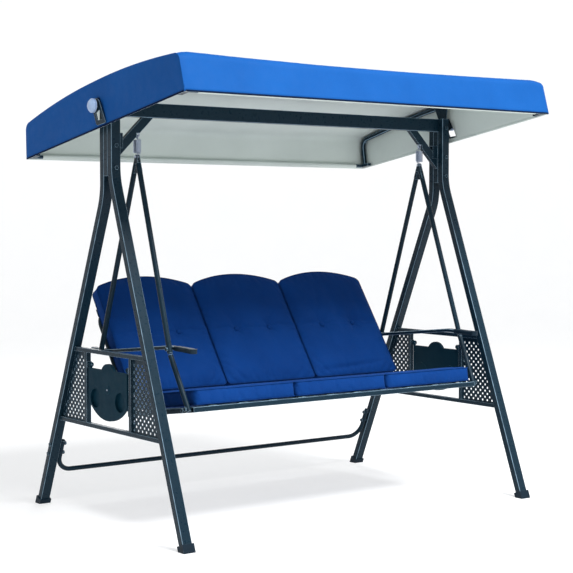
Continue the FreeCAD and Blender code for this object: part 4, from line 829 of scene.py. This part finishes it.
def join_panels(item):
    """Sew the panels together along their edges, with all faces turned outwards."""
    shape = bmesh.new()
    shape.from_mesh(item.data)
    bmesh.ops.remove_doubles(shape, verts=shape.verts, dist=JOIN_GAP)
    bmesh.ops.recalc_face_normals(shape, faces=shape.faces)
    top = max(shape.faces, key=lambda face: face.calc_center_median().z)
    if top.normal.z < 0:
        bmesh.ops.reverse_faces(shape, faces=shape.faces)
    shape.to_mesh(item.data)
    shape.free()


def give_thickness(item):
    """Round the sewn edges, then add the lining and the bound rim."""
    round_off = item.modifiers.new("round_off", "BEVEL")
    round_off.width, round_off.segments = EDGE_ROUND, 3
    round_off.limit_method, round_off.angle_limit = "ANGLE", math.radians(45)
    thick = item.modifiers.new("thick", "SOLIDIFY")
    thick.thickness, thick.offset = CLOTH, -1
    thick.use_even_offset = True
    thick.material_offset, thick.material_offset_rim = 1, 2


def cut_slots(item, cloths):
    """Open the slot round each pivot, with a bound edge."""
    cutter = add_mesh("slot_cutter", *merged([slot_cutter(-1), slot_cutter(1)]), cloths)
    for polygon in cutter.data.polygons:
        polygon.material_index = cloths.index(BINDING)
    opened = item.modifiers.new("slots", "BOOLEAN")
    opened.object, opened.operation, opened.solver = cutter, "DIFFERENCE", "EXACT"
    settle(item)
    bpy.data.objects.remove(cutter)


def make_cover():
    """The fabric cover: one continuous two-coloured sheet with a slot at each pivot."""
    cloths = [AWNING, LINING, BINDING]
    panels = merged([cover_panel(), side_panel(-1), side_panel(1)])
    item = add_mesh("canopy_sheet", *panels, cloths)
    join_panels(item)
    give_thickness(item)
    cut_slots(item, cloths)
    item.matrix_world = CANOPY
    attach(item, "canopy")
    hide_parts("canopy_cover")
    return item


HEM_INSET = 0.0012
HEM_RISE = 0.0028
HEM_STEP = 0.04
HEM_CORNER = 0.006
HEM_RADIUS = 0.0036
SEAM_INSET, SEAM_RADIUS = 0.0018, 0.0026
SLOT_RIM_RADIUS, SLOT_RIM_GROWTH, SLOT_RIM_PROUD = 0.0036, 0.002, 0.0002
SLEEVE_RADIUS, SLEEVE_MARGIN = 0.0094, 0.035


def hem_path():
    """The cover's lower edge, all round, with small corners."""
    low_y, high_y, x = FRONT + HEM_INSET, REAR - HEM_INSET, HALF - HEM_INSET
    corners = [(-x, low_y), (x, low_y), (x, high_y), (-x, high_y)]
    points = []
    for index, (px, py) in enumerate(corners):
        nx, ny = corners[(index + 1) % 4]
        length = math.hypot(nx - px, ny - py)
        steps = max(2, round(length / HEM_STEP))
        for step in range(steps):
            t = (HEM_CORNER + (length - 2 * HEM_CORNER) * step / (steps - 1)) / length
            points.append((px + (nx - px) * t, py + (ny - py) * t, HEM + HEM_RISE))
    return points


def make_hem_binding():
    """Tape folded over the lower edge: dark outside, pale like the lining inside."""
    tape = tube(hem_path(), HEM_RADIUS, 10, True)
    hem = add_mesh("hem_binding", *tape, [BINDING, LINING], "canopy", CANOPY)
    for polygon in hem.data.polygons:
        x, y = polygon.center.x / HALF, polygon.center.y / REAR
        outward = polygon.normal.x * x if abs(x) > abs(y) else polygon.normal.y * y
        polygon.material_index = 0 if outward > 0.1 else 1
    return hem


def make_corner_piping():
    """Piping along the seams between the long panel and the end panels."""
    profile = valance_profile(-1) + roof_profile()[1:-1] + valance_profile(1)[::-1]
    seams = []
    for side in (-1, 1):
        path = []
        for y, z in profile[1:-1]:
            inwards = Vector((MIDDLE_Y - y, -z)).normalized() * SEAM_INSET
            level = z - end_drop(HALF, z)
            path.append((side * (HALF - CLOTH), y + inwards.x, level + inwards.y))
        seams.append(tube(path, SEAM_RADIUS, 8))
    return add_mesh("corner_piping", *merged(seams), [AWNING], "canopy", CANOPY)


def make_slot_binding():
    """Tape round both slots."""
    outline = slot_outline(SLOT_RIM_GROWTH)
    rims = []
    for side in (-1, 1):
        path = [(side * (HALF + SLOT_RIM_PROUD), y, z) for y, z in outline]
        rims.append(tube(path, SLOT_RIM_RADIUS, 8, True))
    return add_mesh("slot_binding", *merged(rims), [BINDING], "canopy", CANOPY)


def make_hem_sleeves():
    """Sleeves of lining that the front and rear bars run through."""
    sleeves = []
    for node in ("canopy_front_bar", "canopy_rear_bar"):
        low, high = local_box(node, CANOPY)
        centre = (low + high) / 2
        reach = (high.x - low.x) / 2 - SLEEVE_MARGIN
        path = [(reach * t, centre.y, centre.z) for t in np.linspace(-1, 1, 61)]
        sleeves.append(tube(path, SLEEVE_RADIUS, 16))
    return add_mesh("hem_sleeves", *merged(sleeves), [LINING], "canopy", CANOPY)


def make_cover_trim():
    """The four pieces that are sewn to the cover."""
    trim = [make_hem_binding(), make_corner_piping(), make_slot_binding(), make_hem_sleeves()]
    return trim


def make_canopy():
    """The cover with its trim."""
    cover = make_cover()
    trim = make_cover_trim()


# ------------------------------------------------------------------ springs

COIL_WIRE, COIL_SLIM = 0.0021, 0.97
COIL_TURNS, COIL_STEPS = 11, 22
SPRING_X = 0.730


def make_springs():
    """Both tension coils as wound wire, between the two hooks of each."""
    low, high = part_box("spring_coils")
    radius = (high.y - low.y) / 2 - COIL_WIRE
    bottom, top = low.z + COIL_WIRE, high.z - COIL_WIRE
    count = COIL_TURNS * COIL_STEPS
    parts = []
    for side in (-1, 1):
        start = math.pi if side > 0 else 0
        path = []
        for k in range(count + 1):
            angle = 2 * math.pi * k / COIL_STEPS + start
            level = bottom + (top - bottom) * k / count
            path.append((side * SPRING_X + radius * math.cos(angle), radius * math.sin(angle), level))
        parts.append(tube(path, COIL_WIRE * COIL_SLIM, 8))
    item = add_mesh("spring_coil_wire", *merged(parts), [ZINC])
    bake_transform(item)
    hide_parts("spring_coils")


# ------------------------------------------------------------------- screws

SCREW_RIM = [(0.0, 0.0022), (0.0018, 0.0019), (0.0034, 0.0009), (0.0038, -0.0004)]
SCREW_SIDES = 16
SCREW_INSET = 0.011
SCREW_SHARES = (0.16, 0.5)
BOSS_HEIGHT = 0.530


def outer_face(low, high, side):
    """X of the side of a box that faces away from the seat."""
    return low.x if side < 0 else high.x


def make_tray_screw(side_name, side):
    """The screw in a tray's boss."""
    low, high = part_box(f"{side_name}_tray")
    boss = Vector((outer_face(low, high, side), (low.y + high.y) / 2, BOSS_HEIGHT))
    head = domed(boss, Vector((side, 0, 0)), SCREW_RIM, SCREW_SIDES)
    screw = add_mesh(f"{side_name}_tray_screw", *head, [ZINC], f"{side_name}_tray")


def make_panel_screws(side_name, side):
    """Two screws in each perforated panel, along the edge beside the tray."""
    parts = []
    for end_name, edge in (("front", 1), ("rear", -1)):
        low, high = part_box(f"{end_name}_{side_name}_panel")
        near = high.y if edge > 0 else low.y
        for share in SCREW_SHARES:
            level = low.z + share * (high.z - low.z)
            spot = Vector((outer_face(low, high, side), near - edge * SCREW_INSET, level))
            parts.append(domed(spot, Vector((side, 0, 0)), SCREW_RIM, SCREW_SIDES))
    screws = add_mesh(f"{side_name}_panel_screws", *merged(parts), [ZINC], "stand")


def make_screws():
    """Small plated screws on both sides."""
    for side_name, side in (("left", -1), ("right", 1)):
        make_tray_screw(side_name, side)
        make_panel_screws(side_name, side)


# ----------------------------------------------------- floor, light, camera


FLOOR_RADIUS, FLOOR_BEND, FLOOR_WALL = 9.0, 3.0, 14.0
FLOOR_TURNS = 48
FLOOR_LEVEL = -0.0005
AMBIENT_COLOUR, AMBIENT_STRENGTH = (0.86, 0.93, 1.0, 1), 0.14
WHITE = (1, 1, 1, 1)
# Name, place, aimed at, width and height, power in watts.
LIGHTS = [
    ("front_key", (0.5, -4.3, 6.2), (0, 0, 0.9), (3.0, 2.2), 900),
    ("rear_rim", (3.0, 5.0, 2.4), (0, 0, 1.0), (2.0, 2.0), 60),
]
CAMERA_PLACE = (-3.581, -4.828, 1.187)
CAMERA_PITCH, CAMERA_HEADING = 87.34, -36.49
FOCAL_LENGTH = 90.04


def floor_material():
    """Pale matt floor that glows a little, so that it stays near white."""
    ground = Graph("pale_floor")
    return ground.finish(
        Base_Color=ground.mix(ground.noise(3, 2.0), (0.46, 0.47, 0.48), (0.5, 0.5, 0.5)),
        Roughness=0.9,
        Emission_Color=WHITE,
        Emission_Strength=0.52,
    )


def make_floor():
    """A round floor that bends up into a wall."""
    material = floor_material()
    rings = [(FLOOR_RADIUS, 0.0)]
    for angle in np.linspace(0.2, 1.5708, 8):
        reach = FLOOR_RADIUS + FLOOR_BEND * math.sin(angle)
        rings.append((reach, FLOOR_BEND - FLOOR_BEND * math.cos(angle)))
    rings.append((FLOOR_RADIUS + FLOOR_BEND, FLOOR_WALL))
    points = [(0, 0, 0)]
    for reach, level in rings:
        for k in range(FLOOR_TURNS):
            angle = 2 * math.pi * k / FLOOR_TURNS
            points.append((reach * math.cos(angle), reach * math.sin(angle), level))
    faces = [(0, 1 + k, 1 + (k + 1) % FLOOR_TURNS) for k in range(FLOOR_TURNS)]
    for ring in range(len(rings) - 1):
        for k in range(FLOOR_TURNS):
            a, b = 1 + ring * FLOOR_TURNS + k, 1 + ring * FLOOR_TURNS + (k + 1) % FLOOR_TURNS
            faces.append((a, a + FLOOR_TURNS, b + FLOOR_TURNS, b))
    floor = add_mesh("floor", points, faces, [material])
    floor.location.z = FLOOR_LEVEL


def make_surroundings():
    """White where the camera looks past the object, and a dim cool light elsewhere."""
    world = bpy.data.worlds.new("studio")
    bpy.context.scene.world = world
    world.use_nodes = True
    tree = world.node_tree
    output = tree.nodes["World Output"]
    ambient = tree.nodes["Background"]
    ambient.inputs["Color"].default_value = AMBIENT_COLOUR
    ambient.inputs["Strength"].default_value = AMBIENT_STRENGTH
    seen = tree.nodes.new("ShaderNodeBackground")
    seen.inputs["Color"].default_value = WHITE
    chooser = tree.nodes.new("ShaderNodeMixShader")
    path = tree.nodes.new("ShaderNodeLightPath")
    tree.links.new(path.outputs["Is Camera Ray"], chooser.inputs[0])
    tree.links.new(ambient.outputs[0], chooser.inputs[1])
    tree.links.new(seen.outputs[0], chooser.inputs[2])
    tree.links.new(chooser.outputs[0], output.inputs["Surface"])


def make_lights():
    """Soft rectangular lights."""
    for name, place, aim, size, power in LIGHTS:
        lamp = bpy.data.lights.new(name, "AREA")
        lamp.shape, lamp.size, lamp.size_y = "RECTANGLE", size[0], size[1]
        lamp.energy = power
        item = bpy.data.objects.new(name, lamp)
        bpy.context.scene.collection.objects.link(item)
        item.location = place
        item.rotation_euler = (Vector(aim) - Vector(place)).to_track_quat("-Z", "Y").to_euler()


def make_camera():
    """The camera, in front of the swing and to its left."""
    lens = bpy.data.cameras.new("camera")
    lens.sensor_width = 36
    lens.lens = FOCAL_LENGTH
    lens.clip_end = 100
    item = bpy.data.objects.new("camera", lens)
    bpy.context.scene.collection.objects.link(item)
    item.location = CAMERA_PLACE
    item.rotation_euler = (math.radians(CAMERA_PITCH), 0, math.radians(CAMERA_HEADING))
    bpy.context.scene.camera = item


# --------------------------------------------------------------------- build

make_camera()
finish_cad_nodes()
cushions = make_pads()
make_piping(cushions)
make_buttons(cushions)
make_canopy()
make_springs()
make_screws()
make_floor()
make_surroundings()
make_lights()
bpy.context.scene.view_settings.view_transform = "Standard"
